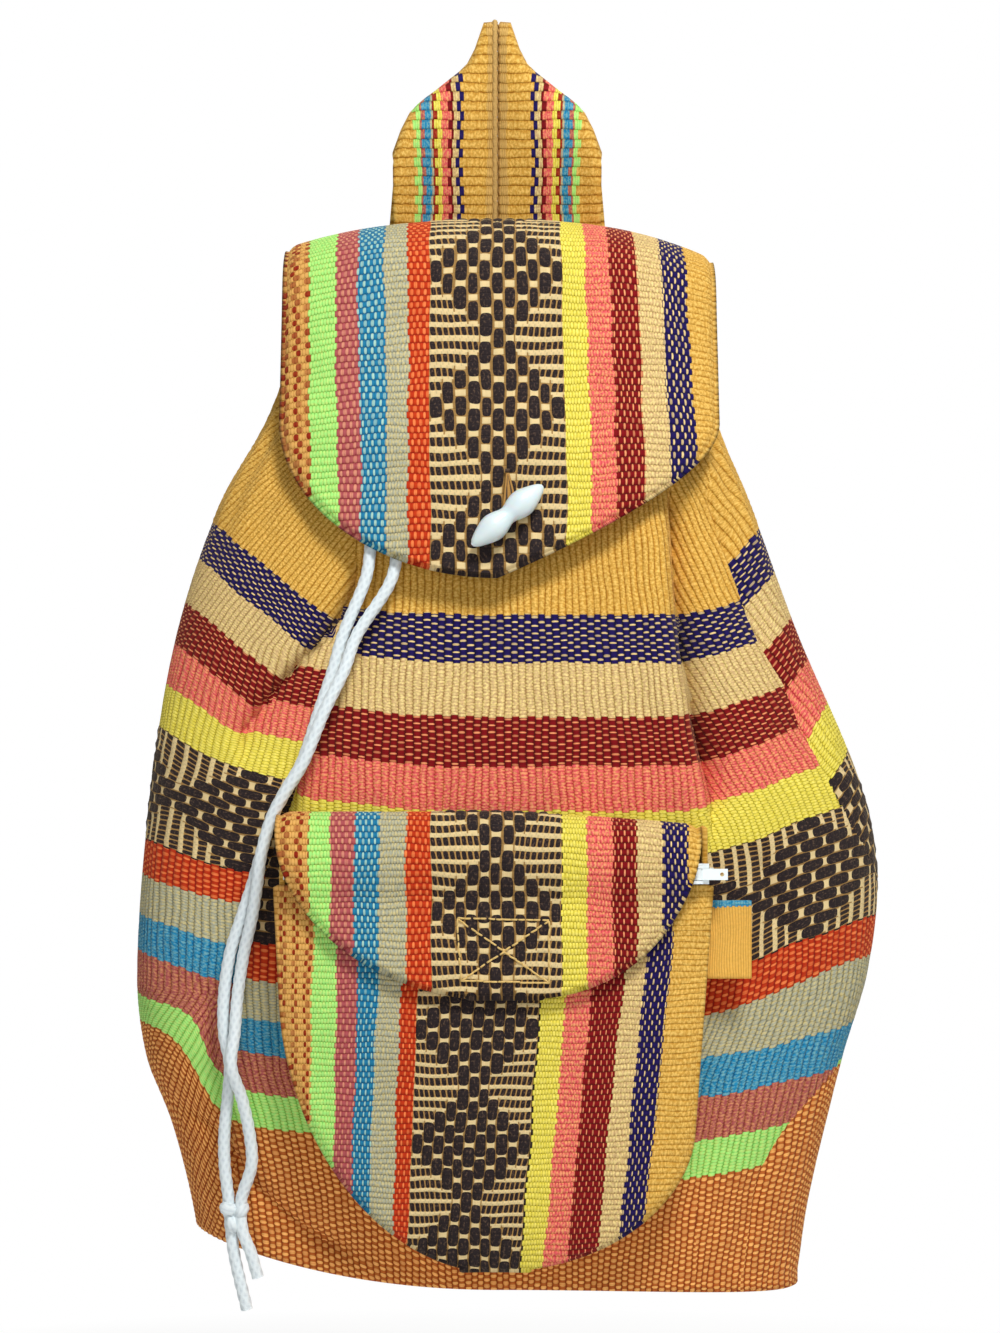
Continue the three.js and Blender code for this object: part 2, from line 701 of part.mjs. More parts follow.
function toggleGeometry() {
  const half = toggleLength / 2;
  const profile = new THREE.SplineCurve([
    new THREE.Vector2(toggleTipRadius, -half + 0.4),
    new THREE.Vector2(toggleLobeRadius * 0.72, -half * 0.8),
    new THREE.Vector2(toggleLobeRadius, -half * 0.48),
    new THREE.Vector2(toggleWaistRadius, 0),
    new THREE.Vector2(toggleLobeRadius, half * 0.48),
    new THREE.Vector2(toggleLobeRadius * 0.72, half * 0.8),
    new THREE.Vector2(toggleTipRadius, half - 0.4),
  ]).getPoints(14);
  const outline = [new THREE.Vector2(0, -half), ...profile, new THREE.Vector2(0, half)];
  const turned = new THREE.LatheGeometry(outline, 14);
  const depth = 2 * toggleLobeRadius;
  const hole = new THREE.CylinderGeometry(toggleHoleRadius, toggleHoleRadius, depth, 12);
  hole.rotateX(Math.PI / 2).translate(0, 0, -depth / 2 + threadRadius);
  return geometryOf(solidOf(turned).subtract(solidOf(hole)));
}

function placeToggle(mesh) {
  const across = new THREE.Vector3(1, 0, 0);
  const length = across.multiplyScalar(Math.cos(toggleTurn)).addScaledVector(flapUp, Math.sin(toggleTurn));
  const width = length.clone().cross(flapNormal);
  mesh.quaternion.setFromRotationMatrix(new THREE.Matrix4().makeBasis(width, length, flapNormal));
  mesh.position.copy(toggleCentre);
}

function threadGeometry() {
  const lie = touchGap + threadRadius;
  const onFlap = (rise, lift) => {
    const point = toggleSeat.clone().addScaledVector(flapUp, rise).addScaledVector(flapNormal, lift);
    return point.toArray();
  };
  const top = onFlap(threadStitchRise, lie);
  const end = toggleClearance + toggleLobeRadius - threadRadius;
  return cordGeometry([top, onFlap(10, lie), onFlap(3, lie), onFlap(0.4, lie + 1.2), onFlap(0, end)], threadRadius, 14);
}

// Drawstring strands: chosen by hand, from under the flap down the left crease to the knot
const leftStrand = [
  [-24, -74, -152], [-34, -80, -172], [-43, -87.3, -196], [-50, -93, -220], [-54.5, -97.3, -243],
  [-57, -99.8, -260], [-66.5, -102.8, -284], [-71, -104.6, -300], [-77, -106.5, -318], [-84, -107.9, -339],
  [-91.5, -108.1, -352], [-97.5, -107.9, -364], [-101.5, -107.8, -378], [-105.5, -107.6, -392],
  [-110.2, -106.9, -406], [-115.3, -105.5, -422], [-118, -104.5, -440], [-118, -104.7, -456],
  [-115.5, -104.4, -470], [-116.5, -102.7, -484], [-118.2, -99.8, -500], [-118.3, -98.2, -514],
  [-116.6, -97.6, -529.7],
];
const rightStrand = [
  [-12, -74.3, -152], [-20, -80.3, -173], [-29, -88, -197], [-37, -94, -221], [-42.5, -98.3, -244],
  [-46.5, -101.2, -262], [-60.3, -104.2, -284], [-66, -108.9, -300], [-74.5, -112.5, -318], [-83, -114.2, -339],
  [-90.8, -114.4, -352], [-97, -114.4, -364], [-101, -114.5, -378], [-103, -113.8, -392],
  [-105.4, -111.5, -406], [-109.2, -107.9, -422], [-111.9, -106.9, -440], [-113, -109.4, -456],
  [-114.3, -111.1, -470], [-110.2, -106.9, -484], [-107, -104, -500], [-106.3, -102.2, -514],
  [-110.9, -99.6, -529.4],
];
const knotCentre = [-114, -98.8, -535.7];
const longTail = [[-115.5, -98.8, -542.1], [-113.5, -98.8, -556], [-108.5, -98.8, -577]];
const shortTail = [[-110.3, -101.3, -542.1], [-106.5, -102, -552], [-103.5, -102, -562.5]];

function knotGeometry() {
  return new THREE.SphereGeometry(0.5, 12, 8).scale(knotWidth, knotDepth, knotHeight);
}

// Finishes
function finish(color, roughness, metalness = 0) {
  return new THREE.MeshStandardMaterial({ color, roughness, metalness });
}

const finishes = {
  bodyCloth: () => finish(0xc98f4a, 0.95),
  flapCloth: () => finish(0xb06a4a, 0.95),
  strapCloth: () => finish(0xd6a046, 0.95),
  tape: () => finish(0xf0efe8, 0.85),
  plastic: () => finish(0xf4f4f0, 0.35),
  cord: () => finish(0xebeef0, 0.9),
  thread: () => finish(0xb98a3c, 0.9),
  label: () => finish(0xd6a046, 0.8),
  fastener: () => finish(0x2a2726, 0.95),
};

// Assembly
const backpack = new THREE.Group();

function addPiece(name, geometry, material) {
  const mesh = new THREE.Mesh(geometry, material);
  mesh.name = name;
  backpack.add(mesh);
  return mesh;
}

function addBody() {
  addPiece("front_panel", clothSheet(frontPanelPoint, 60, 13, clothThickness), finishes.bodyCloth());
  addPiece("back_panel", clothSheet(backPanelPoint, 8, 10, clothThickness), finishes.bodyCloth());
  addPiece("base_panel", clothSheet(basePanelPoint, 12, 3, clothThickness), finishes.bodyCloth());
  addPiece("mouth_hem", hemGeometry(), finishes.bodyCloth());
  addPiece("drawstring_ring", ringCordGeometry(), finishes.cord());
}

function addFlapAndToggle() {
  addPiece("top_flap", clothSheet(topFlapPoint, 14, 18, clothThickness), finishes.flapCloth());
  placeToggle(addPiece("toggle", toggleGeometry(), finishes.plastic()));
  addPiece("toggle_thread", threadGeometry(), finishes.thread());
}

function addStraps() {
  const strap = (side) => clothSheet((u, v) => strapPoint(side, u, v), strapColumns, strapRows, strapThickness);
  addPiece("strap_left", strap(-1), finishes.strapCloth());
  addPiece("strap_right", strap(1), finishes.strapCloth());
}

function addPocket() {
  const loopsStep = clothThickness / 2 + fastenerGap + fastenerThickness / 2;
  const hooksStep = pocketFlapStep - loopsStep;
  addPiece("pocket_front", clothSheet(pocketFrontPoint, 12, 11, clothThickness), finishes.flapCloth());
  addPiece("pocket_gusset", clothSheet(gussetPoint, 36, 1, gussetThickness), finishes.flapCloth());
  addPiece("pocket_flap", clothSheet(pocketFlapPoint, 12, 12, clothThickness), finishes.flapCloth());
  addPiece("fastener_loops", clothSheet(fastenerPoint(loopsStep), 4, 2, fastenerThickness), finishes.fastener());
  addPiece("fastener_hooks", clothSheet(fastenerPoint(hooksStep), 4, 2, fastenerThickness), finishes.fastener());
  addPiece("side_label", labelGeometry(), finishes.label());
}

function addZip() {
  addPiece("zip_tape_upper", clothSheet(upperTapePoint, 10, 1, tapeThickness), finishes.tape());
  addPiece("zip_tape_lower", clothSheet(lowerTapePoint, 1, 1, tapeThickness), finishes.tape());
  addPiece("zip_coil", coilGeometry(), finishes.plastic());
  addPiece("zip_stop_left", stopGeometry(-1), finishes.plastic());
  addPiece("zip_stop_right", stopGeometry(1), finishes.plastic());
  addPiece("zip_slider", sliderGeometry(), finishes.plastic()).position.z = -zipDrop;
  addPiece("zip_pull", pullGeometry(), finishes.plastic()).position.set(pivotX, barY, -zipDrop);
}

function addDrawstring() {
  const radius = cordDiameter / 2;
  addPiece("drawstring_left", cordGeometry(leftStrand, radius, 36), finishes.cord());
  addPiece("drawstring_right", cordGeometry(rightStrand, radius, 36), finishes.cord());
  addPiece("drawstring_knot", knotGeometry(), finishes.cord()).position.set(...knotCentre);
  addPiece("tail_long", cordGeometry(longTail, radius, 5), finishes.cord());
  addPiece("tail_short", cordGeometry(shortTail, radius, 4), finishes.cord());
}

addBody();
addFlapAndToggle();
addStraps();
addPocket();
addZip();
addDrawstring();

export default backpack;
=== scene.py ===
# A woven cotton backpack: striped cloth, braided drawstring, zip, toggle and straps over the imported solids.
import math

import bpy
import numpy as np
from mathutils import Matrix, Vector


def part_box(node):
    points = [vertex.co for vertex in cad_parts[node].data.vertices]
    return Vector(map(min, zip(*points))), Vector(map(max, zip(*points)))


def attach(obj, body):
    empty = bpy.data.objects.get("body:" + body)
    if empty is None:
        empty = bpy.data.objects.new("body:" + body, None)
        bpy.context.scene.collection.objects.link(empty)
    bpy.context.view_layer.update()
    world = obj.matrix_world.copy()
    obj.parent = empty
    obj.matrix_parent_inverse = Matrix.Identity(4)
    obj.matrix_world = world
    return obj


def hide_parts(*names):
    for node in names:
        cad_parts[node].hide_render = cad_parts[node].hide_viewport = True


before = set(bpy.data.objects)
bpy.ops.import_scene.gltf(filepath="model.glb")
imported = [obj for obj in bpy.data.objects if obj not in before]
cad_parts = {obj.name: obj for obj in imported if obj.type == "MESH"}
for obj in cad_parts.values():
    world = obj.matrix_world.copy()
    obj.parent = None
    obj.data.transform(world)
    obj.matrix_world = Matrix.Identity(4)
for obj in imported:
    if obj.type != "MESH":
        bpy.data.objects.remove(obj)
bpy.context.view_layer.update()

# Forms are written in millimetres and become metres in the meshes.
MM = 0.001

# Cloth and seams
CLOTH = 2.5
GUSSET_CLOTH = 2.2
LAYER = 3.0
BACK_EASE = 0.6
SEAM_GAP = 0.5

# Body
MOUTH_FRONT, MOUTH_BACK, BASE = 150, 118, 567
BASE_LEFT_LIFT, BASE_RIGHT_SAG = 21, 6
BODY_LEFT, BODY_RIGHT, BODY_FRONT, BODY_BACK = 160, 169, 113, 1
MOUTH_CENTRE, SIDE = 36, 50
CORNER = 2.6
BACK_SEAM = math.radians(58)
BACK_OVERLAP = 8
BASE_SIDE_INSET, BASE_EDGE_INSET = 6, 3.6
GATHERS, GATHER_REACH, GATHER_SHARE = 22, 2.2, 0.3
HEM_WIDTH, HEM_HEIGHT, HEM_LIFT = 11, 13, 0.8

# Top flap
FLAP_LEFT, FLAP_RIGHT = 95, 97
FLAP_TOP, FLAP_TIP, FLAP_ROUND, FLAP_SEAM = 94.5, 258.5, 183, 142
FLAP_STAND_OFF, FLAP_CURL, FLAP_DROOP = 13.5, 14, 17
FLAP_SHARES = (0.308, 0.46, 0.643, 0.826, 1)

# Straps
STRAP_WIDTH, STRAP_SPLIT, STRAP_CLOTH = 46, 3, 2.8
STRAP_FOLD, STRAP_SEAM, STRAP_SEAM_Y, STRAP_END = 7, 138, 3.8, 532
STRAP_SPREAD, STRAP_BOW = 42, 20
STRAP_FRONT_END, STRAP_FOLD_END = 0.14, 0.22

# Pocket and its flap
POCKET_PLANE, POCKET_BULGE = 126, 8
POCKET_TOP, POCKET_TIP = 392, 554.5
POCKET_REACH = {-1: 94, 1: 91}
POCKET_TAPER = {-1: 8, 1: 12}
POCKET_ROUND = {-1: 114, 1: 58}
GUSSET_TOP, GUSSET_INSET = 367, 2.5
LID_SEAM, LID_TIP, LID_ROUND = 362, 437, 366
LID_LEFT, LID_RIGHT, LID_TILT, LID_STEP = 92.5, 85, 6, 6.2
LID_SHARES = (0.133, 0.4, 0.711, 1)
LID_LAY = (0.5, 0.64)
ZIP_DROP = 386


def lerp(start, end, share):
    return start + (end - start) * share


def ramp(value, low, high):
    return np.clip((value - low) / (high - low), 0, 1)


def smoothstep(value, low, high):
    share = ramp(value, low, high)
    return share * share * (3 - 2 * share)


# A row of evenly spaced shares from 0 to 1
def shares(steps):
    return np.linspace(0, 1, steps + 1)[None, :]


# Points of a grid or a row from their coordinates
def stacked(*values):
    return np.stack(np.broadcast_arrays(*values), axis=-1)


def unit(vectors):
    return vectors / np.maximum(np.linalg.norm(vectors, axis=-1, keepdims=True), 1e-9)


def signed_power(value, power):
    return np.sign(value) * np.abs(value) ** power


# A smooth curve through stations (position, value), flat beyond both ends
def smooth_profile(*stations):
    places = np.array([station[0] for station in stations], float)
    values = np.array([station[1] for station in stations], float)
    last = len(stations) - 1
    after = np.minimum(np.arange(last + 1) + 1, last)
    before = np.maximum(np.arange(last + 1) - 1, 0)
    slopes = (values[after] - values[before]) / (places[after] - places[before])

    def at(position):
        inside = np.clip(position, places[0], places[last])
        k = np.clip(np.searchsorted(places, inside, side="right") - 1, 0, last - 1)
        span = places[k + 1] - places[k]
        t = (inside - places[k]) / span
        rise = span * (t * (1 - t) ** 2 * slopes[k] - t * t * (1 - t) * slopes[k + 1])
        return lerp(values[k], values[k + 1], t * t * (3 - 2 * t)) + rise

    return at


# Distance of each point from the first, along one axis of a grid
def run_along(points, axis=0):
    steps = np.linalg.norm(np.diff(points, axis=axis), axis=-1)
    lead = np.zeros_like(np.take(steps, [0], axis=axis))
    return np.concatenate([lead, np.cumsum(steps, axis=axis)], axis=axis)


# Points of a uniform Catmull-Rom curve, with their distance from its start
def spline(points, count=1200):
    points = np.array(points, float)
    last = len(points) - 1
    position = np.linspace(0, last, count)
    k = np.minimum(position.astype(int), last - 1)
    t = (position - k)[:, None]
    p0, p1 = points[np.maximum(k - 1, 0)], points[k]
    p2, p3 = points[k + 1], points[np.minimum(k + 2, last)]
    start, end = (p2 - p0) / 2, (p3 - p1) / 2
    cubic = 2 * p1 - 2 * p2 + start + end
    square = 3 * p2 - 3 * p1 - 2 * start - end
    curve = cubic * t**3 + square * t**2 + start * t + p1
    return curve, run_along(curve)


def at_distances(curve, distance, places):
    return stacked(*[np.interp(places, distance, values) for values in curve.T])


def along_spline(points, share):
    curve, distance = spline(points)
    return at_distances(curve, distance, share * distance[-1])


def even_path(points, step):
    curve, distance = spline(points)
    count = max(3, int(distance[-1] / step) + 1)
    return at_distances(curve, distance, np.linspace(0, distance[-1], count))


# Form of the body
body_left = smooth_profile(
    (0, 0.55), (0.09, 0.64), (0.18, 0.77), (0.32, 0.89), (0.48, 0.96),
    (0.68, 1), (0.77, 0.975), (0.84, 0.905), (0.92, 0.85), (1, 0.815),
)
body_right = smooth_profile(
    (0, 0.53), (0.09, 0.575), (0.18, 0.665), (0.32, 0.79), (0.48, 0.955),
    (0.58, 1), (0.68, 0.975), (0.77, 0.91), (0.92, 0.82), (1, 0.79),
)
body_front = smooth_profile(
    (0, 0.57), (0.12, 0.73), (0.24, 0.83), (0.41, 0.94), (0.6, 1), (0.79, 1), (0.94, 0.955), (1, 0.92),
)
body_back = smooth_profile((0, -9), (0.12, -4), (0.48, 0), (0.84, -1), (1, -5))


def body_share(z):
    return ramp(-z, MOUTH_FRONT, BASE)


def body_reach(x, z):
    share = body_share(z)
    return np.where(x < 0, BODY_LEFT * body_left(share), BODY_RIGHT * body_right(share))


def side_y(z):
    return -lerp(MOUTH_CENTRE, SIDE, smoothstep(body_share(z), 0, 0.3))


def round_share(x, z):
    share = np.minimum(1, np.abs(x) / body_reach(x, z))
    return (1 - share**CORNER) ** (1 / CORNER)


def front_y(x, z):
    return side_y(z) + (-BODY_FRONT * body_front(body_share(z)) - side_y(z)) * round_share(x, z)


def back_y(x, z):
    return side_y(z) + (BODY_BACK + body_back(body_share(z)) - side_y(z)) * round_share(x, z)


def base_z(x):
    share = x / body_reach(x, -BASE)
    return np.where(x < 0, -BASE + BASE_LEFT_LIFT * share**2, -BASE - BASE_RIGHT_SAG * share**2)


def rim_z(angle):
    return -lerp(MOUTH_FRONT, MOUTH_BACK, 0.5 + 0.5 * np.sin(angle))


# A point of the body's outer loop: angle 0 is the right side, 270 degrees the front
def body_point(angle, z):
    across = signed_power(np.cos(angle), 2 / CORNER)
    deep = signed_power(np.sin(angle), 2 / CORNER)
    front = side_y(z) + BODY_FRONT * body_front(body_share(z))
    back = BODY_BACK + body_back(body_share(z)) - side_y(z)
    return across * body_reach(across, z), side_y(z) + deep * np.where(deep < 0, front, back)


def gather(angle, z):
    frontness = smoothstep(-np.sin(angle), -0.6, 0.3)
    fade = np.clip(1 - body_share(z) / GATHER_SHARE, 0, 1)
    return GATHER_REACH * frontness * fade**1.5 * np.cos(GATHERS * angle)


# Lines of the folds, as stations of height and x, and of x and height for the hollow
left_crease = smooth_profile((-480, -114), (-435, -112), (-391, -101), (-343, -84), (-269, -62))
right_crease = smooth_profile((-357, 92), (-320, 84), (-276, 78), (-226, 75))
right_fold = smooth_profile(
    (-400, 172), (-380, 162), (-359, 150), (-341, 141), (-324, 132),
    (-306, 125), (-289, 115), (-269, 107), (-226, 93),
)
low_right_fold = smooth_profile((-566, 106), (-544, 109.5), (-521, 113.5), (-500, 125.5), (-475, 150))
low_left_fold = smooth_profile((-491, -118), (-439, -127))
high_left_fold = smooth_profile(
    (-326, -111), (-313, -101.5), (-302, -92.5), (-288, -79), (-277, -70), (-247, -58),
)
pucker_line = smooth_profile((-415, 125), (-375, 111))
hollow_line = smooth_profile((-150, -484), (-119, -503), (-104, -524), (-80, -543), (-55, -554))

# Simple folds: depth, line, width to the left and right, and the four drops of the fade
FOLDS = (
    (8, left_crease, 14, 10, (230, 290, 440, 520)),
    (9, right_fold, 7, 12, (205, 240, 335, 395)),
    (5, pucker_line, 8, 6, (370, 388, 405, 430)),
    (5.5, low_right_fold, 9, 5, (450, 475, 530, 566)),
    (5, low_left_fold, 6, 6, (425, 450, 480, 510)),
    (13, high_left_fold, 2, 16, (240, 275, 318, 350)),
)

# The right tuck with the lip beside it, and the hollow at the lower left
TUCK_DEPTH, TUCK_WIDTH, TUCK_SOFT_WIDTHS, TUCK_SOFT_DROPS = 26, 1.0, (12, 8), (240, 300)
TUCK_FADE = (200, 250, 335, 380)
LIP_HEIGHT, LIP_OFFSET, LIP_WIDTH = 3, 9, 7
HOLLOW_DEPTH, HOLLOW_WIDTHS, HOLLOW_END, HOLLOW_FOOT = 9, (8, 5), (-75, -50), (545, 565)


def fold_depth(x, line, left_width, right_width):
    offset = x - line
    return np.exp(-np.abs(offset) / np.where(offset < 0, left_width, right_width))


# A fold's fade from none to full and back, between four drops
def fold_fade(drop, appear, full, hold, vanish):
    return smoothstep(drop, appear, full) * (1 - smoothstep(drop, hold, vanish))


# How far the front cloth is pushed in by its folds
def fold_inset(x, z):
    drop = -z
    soft_width = lerp(*TUCK_SOFT_WIDTHS, smoothstep(drop, *TUCK_SOFT_DROPS))
    tuck = TUCK_DEPTH * fold_depth(x, right_crease(z), TUCK_WIDTH, soft_width)
    lip = LIP_HEIGHT * np.exp(-(((x - right_crease(z) + LIP_OFFSET) / LIP_WIDTH) ** 2))
    hollow = HOLLOW_DEPTH * fold_depth(z, hollow_line(x), *HOLLOW_WIDTHS)
    hollow = hollow * (1 - smoothstep(x, *HOLLOW_END)) * (1 - smoothstep(drop, *HOLLOW_FOOT))
    inset = (tuck - lip) * fold_fade(drop, *TUCK_FADE) + hollow
    for depth, line, left_width, right_width, fade in FOLDS:
        inset = inset + depth * fold_depth(x, line(z), left_width, right_width) * fold_fade(drop, *fade)
    return inset


# How far the stripes rise towards the sides, as stations of x and rise:
# above and below the left valley, inside it, at the bottom, on the right, and on the right facet
upper_left_rise = smooth_profile(
    (-220, 70), (-175, 62), (-150, 56), (-138, 50), (-127, 42.5),
    (-112, 29.8), (-97, 18.2), (-83, 6.5), (-68, -2.5),
)
lower_left_rise = smooth_profile(
    (-220, 66), (-175, 60), (-150, 54), (-138, 50), (-127, 45.5), (-112, 38), (-97, 34), (-83, 31), (-68, 28),
)
lower_left_lean = smooth_profile(
    (-150, 0.06), (-138, 0.08), (-127, 0.095), (-112, 0.17), (-97, 0.2), (-83, 0.23),
)
valley_drop = smooth_profile(
    (-150, 338), (-111, 326), (-101.5, 313), (-92.5, 302), (-79, 288), (-70, 277), (-55, 262),
)
valley_blur = smooth_profile((-130, 20), (-107, 9), (-97, 1.2), (-90, 0.3), (-60, 0.3))
inner_left_rise = smooth_profile(
    (-110, 19), (-103, 17.4), (-94, 16), (-84, 6), (-68, 4), (-42, 1.3), (-20, 0),
)
low_inner_rise = smooth_profile((-120, 20), (-103, 18), (-84, 16.5), (-60, 13), (-20, 0))
bottom_left_rise = smooth_profile(
    (-175, 74), (-154, 67.5), (-147, 64.5), (-139, 57.5), (-132, 47), (-128, 39), (-122, 29.5), (-111, 22.5),
)
right_rise = smooth_profile(
    (80, 0), (97, 3.5), (106, 6.5), (114, 9), (123, 12.5),
    (132, 15.7), (149, 20.4), (158, 22.6), (180, 26), (230, 32),
)
fold_rise = smooth_profile((93, 20), (102, 22), (115, 27), (125, 31), (134, 29), (142, 30.5), (160, 36))

# Drops below the hanging point between which the stripes change their course
LEAN_DROPS, LEAN_MIDDLE, BOTTOM_DROPS = (295, 400), 340, (438, 472)
INNER_DROPS, LOW_INNER_DROPS, LOW_INNER_SHARES = (358, 385), (435, 500), (0.82, 1.25)
RIGHT_DROPS, RIGHT_LOW_SHARE = (425, 470), 0.4
LOW_FOLD_TOP, LOW_FOLD_DROPS, LOW_FOLD_RISE, LOW_FOLD_REAR_RISE = 473, (440, 500), 36, 19.5
FACET_LEAN, FACET_WIDTH = 0.9, 40
SHARP_BLUR = 2

# Where the right side begins, and the drops where its folds end
RIGHT_START, RIGHT_FULL, RIGHT_EDGE = 60, 150, 86
TUCK_END, FACET_END = 360, 395

# Shifts of the ribs between the folds, and the drops between which they lean or draw together
HALF_DIAMOND, LEFT_SHIFT, FRONT_ROUNDING = 34, 13, 8
RIB_DROPS, RIB_LEAN_DROPS = (400, 480), (330, 400)
NARROW_SHARE, NARROW_CENTRE, NARROW_FADE = 0.2, 135, (345, 385, 440, 480)
LEFT_TOP, LEFT_TOP_LEAN, LEFT_LOW, LEFT_LOW_LEAN = 290, 0.42, 440, 0.7
FACET_SPREAD, FACET_SLANT = 0.75, 0.6


# Rise of the stripes on the left, where a sharp valley is judged by the middle of a face
def left_stripe_rise(w, drop, fold_w, fold_drop):
    low = lower_left_rise(w) + lower_left_lean(w) * (np.clip(drop, *LEAN_DROPS) - LEAN_MIDDLE)
    sharp = valley_blur(fold_w) < SHARP_BLUR
    at_w, at_drop = np.where(sharp, fold_w, w), np.where(sharp, fold_drop, drop)
    blur = valley_blur(at_w)
    share = smoothstep(at_drop, valley_drop(at_w) - blur, valley_drop(at_w) + blur)
    rise = lerp(upper_left_rise(w), low, share)
    return lerp(rise, bottom_left_rise(w), smoothstep(drop, *BOTTOM_DROPS))


# Rise of the stripes at a place, given the side of each fold that it lies on
def stripe_rise(w, drop, fold_w, fold_drop, sides, hidden):
    low_rise = low_inner_rise(w) * lerp(*LOW_INNER_SHARES, ramp(drop, *LOW_INNER_DROPS))
    inner_rise = lerp(inner_left_rise(w), low_rise, smoothstep(drop, *INNER_DROPS))
    rise = np.where(sides["left"], left_stripe_rise(w, drop, fold_w, fold_drop), inner_rise)
    right = right_rise(w) * lerp(1, RIGHT_LOW_SHARE, smoothstep(drop, *RIGHT_DROPS))
    rise = np.where(w > RIGHT_START, right, rise)
    facet = right_fold(-drop)
    facet_rise = fold_rise(facet) + FACET_LEAN * np.minimum(w - facet, FACET_WIDTH)
    rise = np.where(sides["facet"], lerp(facet_rise, rise, hidden), rise)
    low_step = lerp(fold_drop > LOW_FOLD_TOP, smoothstep(drop, *LOW_FOLD_DROPS), hidden)
    return rise + lerp(LOW_FOLD_RISE, LOW_FOLD_REAR_RISE, hidden) * low_step * sides["low_right"]


# Ribs across the cloth for a place across the bag: they draw together where the bag narrows
def spread_ribs(w, drop, profile):
    return w * lerp(profile**-0.5, 1 / profile, smoothstep(drop, *RIB_DROPS))


# Place across the ribs, given the side of each fold that it lies on
def rib_place(w, drop, sides, hidden):
    left, right = body_left(body_share(-drop)), body_right(body_share(-drop))
    lean = 1 - smoothstep(drop, *RIB_LEAN_DROPS)
    follow = np.where(sides["right"], 1, smoothstep(w, RIGHT_START, RIGHT_FULL)) * lean
    narrow = NARROW_SHARE * (w - NARROW_CENTRE) * fold_fade(drop, *NARROW_FADE)
    s = spread_ribs(w, drop, np.where(w < 0, left, right)) + BODY_RIGHT * (1 - right) * follow
    s = s + (HALF_DIAMOND + narrow) * sides["right"]
    left_s = spread_ribs(w, drop, left) - BODY_LEFT * (1 - left) * lean + LEFT_SHIFT
    left_s = left_s - LEFT_TOP_LEAN * np.maximum(0, LEFT_TOP - drop)
    left_s = left_s + LEFT_LOW_LEAN * np.maximum(0, drop - LEFT_LOW)
    s = np.where(sides["left"], left_s, s)
    facet_s = FACET_SPREAD * w - FACET_SLANT * drop + 8 * HALF_DIAMOND
    return np.where(sides["facet"], lerp(facet_s, s, hidden), s)


# How much longer the way round the bag is than the way across it, counted from near the front's edges
def way_round(x, y):
    across = np.diff(x, axis=0)
    longer = np.hypot(across, np.diff(y, axis=0)) - np.abs(across)
    way = np.concatenate([np.zeros_like(x[:1]), np.cumsum(longer, axis=0)])
    way = np.abs(way - way[len(way) // 2])
    return np.sign(x) * np.maximum(0, way - FRONT_ROUNDING)


# Place across the bag, counted on past its edge at the back
def across_bag(angle, x, z):
    return np.where(np.sin(angle) > 0, np.sign(x) * (2 * body_reach(x, z) - np.abs(x)), x)


# Whether a place lies beyond each fold
def fold_sides(w, z):
    return {
        "left": w < left_crease(z),
        "right": w > np.where(-z < TUCK_END, right_crease(z), RIGHT_EDGE),
        "facet": (w > right_fold(z)) & (-z < FACET_END),
        "low_right": w > low_right_fold(z),
    }


# Cloth coordinates of the body: s across its upright ribs, t down its stripes.
# A point lies on the side of each fold that the fold place lies on.
def body_cloth_place(angle, w, z, way, fold_w, fold_z):
    hidden = smoothstep(np.sin(angle), -0.02, 0.9 * math.sin(BACK_SEAM))
    sides = fold_sides(fold_w, fold_z)
    rise = stripe_rise(w, -z, fold_w, -fold_z, sides, hidden)
    return rib_place(w, -z, sides, hidden) + way, -z + rise


# Columns of the body spaced evenly round its loop
def even_angles(start, end, count, z):
    angles = np.linspace(start, end, 6000)
    length = run_along(stacked(*body_point(angles, z)))
    return np.interp(np.linspace(0, length[-1], count + 1), length, angles)


# Colours of the stripes: main yarn, second yarn, share of flecks, length of the light grains in a check,
# and the check's repeat in centimetres, or how far plain grains stand apart
COLOURS = {
    "ochre": ((204, 154, 64), (240, 202, 112), 0.75, 0, 0.15),
    "navy": ((24, 10, 80), (226, 198, 138), 0, 0.27, 0.33),
    "tan": ((206, 172, 120), (242, 222, 150), 0.75, 0, 0.6),
    "red": ((124, 5, 16), (230, 152, 102), 0, 0.27, 0.3),
    "pink": ((226, 92, 96), (242, 184, 116), 0.65, 0, 0.7),
    "yellow": ((228, 211, 78), (246, 234, 128), 0.55, 0, 1),
    "band": ((38, 30, 28), (38, 30, 28), 0, 0, 0),
    "orange": ((186, 52, 16), (232, 128, 70), 0, 0.44, 0.284),
    "grey": ((168, 169, 148), (222, 202, 132), 0.65, 0, 0.6),
    "blue": ((30, 136, 180), (140, 188, 182), 0.6, 0, 0.6),
    "sky": ((30, 120, 158), (164, 202, 188), 0, 0.4, 0.284),
    "rose": ((174, 86, 86), (222, 162, 106), 0.65, 0, 0.5),
    "dusk": ((172, 82, 86), (210, 142, 114), 0, 0.46, 0.284),
    "green": ((164, 232, 124), (220, 226, 126), 0.5, 0, 0.7),
    "terracotta": ((182, 96, 40), (244, 182, 104), 0, 0.56, 0.27),
    "rust": ((220, 168, 92), (146, 36, 10), 0, 0.42, 0.6),
    "pale": ((212, 172, 98), (190, 146, 76), 0.5, 0, 0.8),
    "ink": ((26, 14, 84), (58, 44, 110), 0.3, 0, 0.3),
    "wine": ((116, 6, 20), (150, 30, 30), 0.4, 0, 0.3),
    "brick": ((148, 36, 20), (196, 92, 52), 0.5, 0, 0.3),
    "label": ((228, 174, 78), (236, 186, 94), 0.4, 0, 0),
}
BLACK, BROWN, CREAM, GOLD = (34, 26, 28), (92, 72, 58), (218, 194, 142), (166, 128, 72)
FLAP_COLOURS = (
    "rust", "green", "dusk", "sky", "grey", "orange", "band", "yellow", "pink", "red", "tan", "navy", "ochre",
)


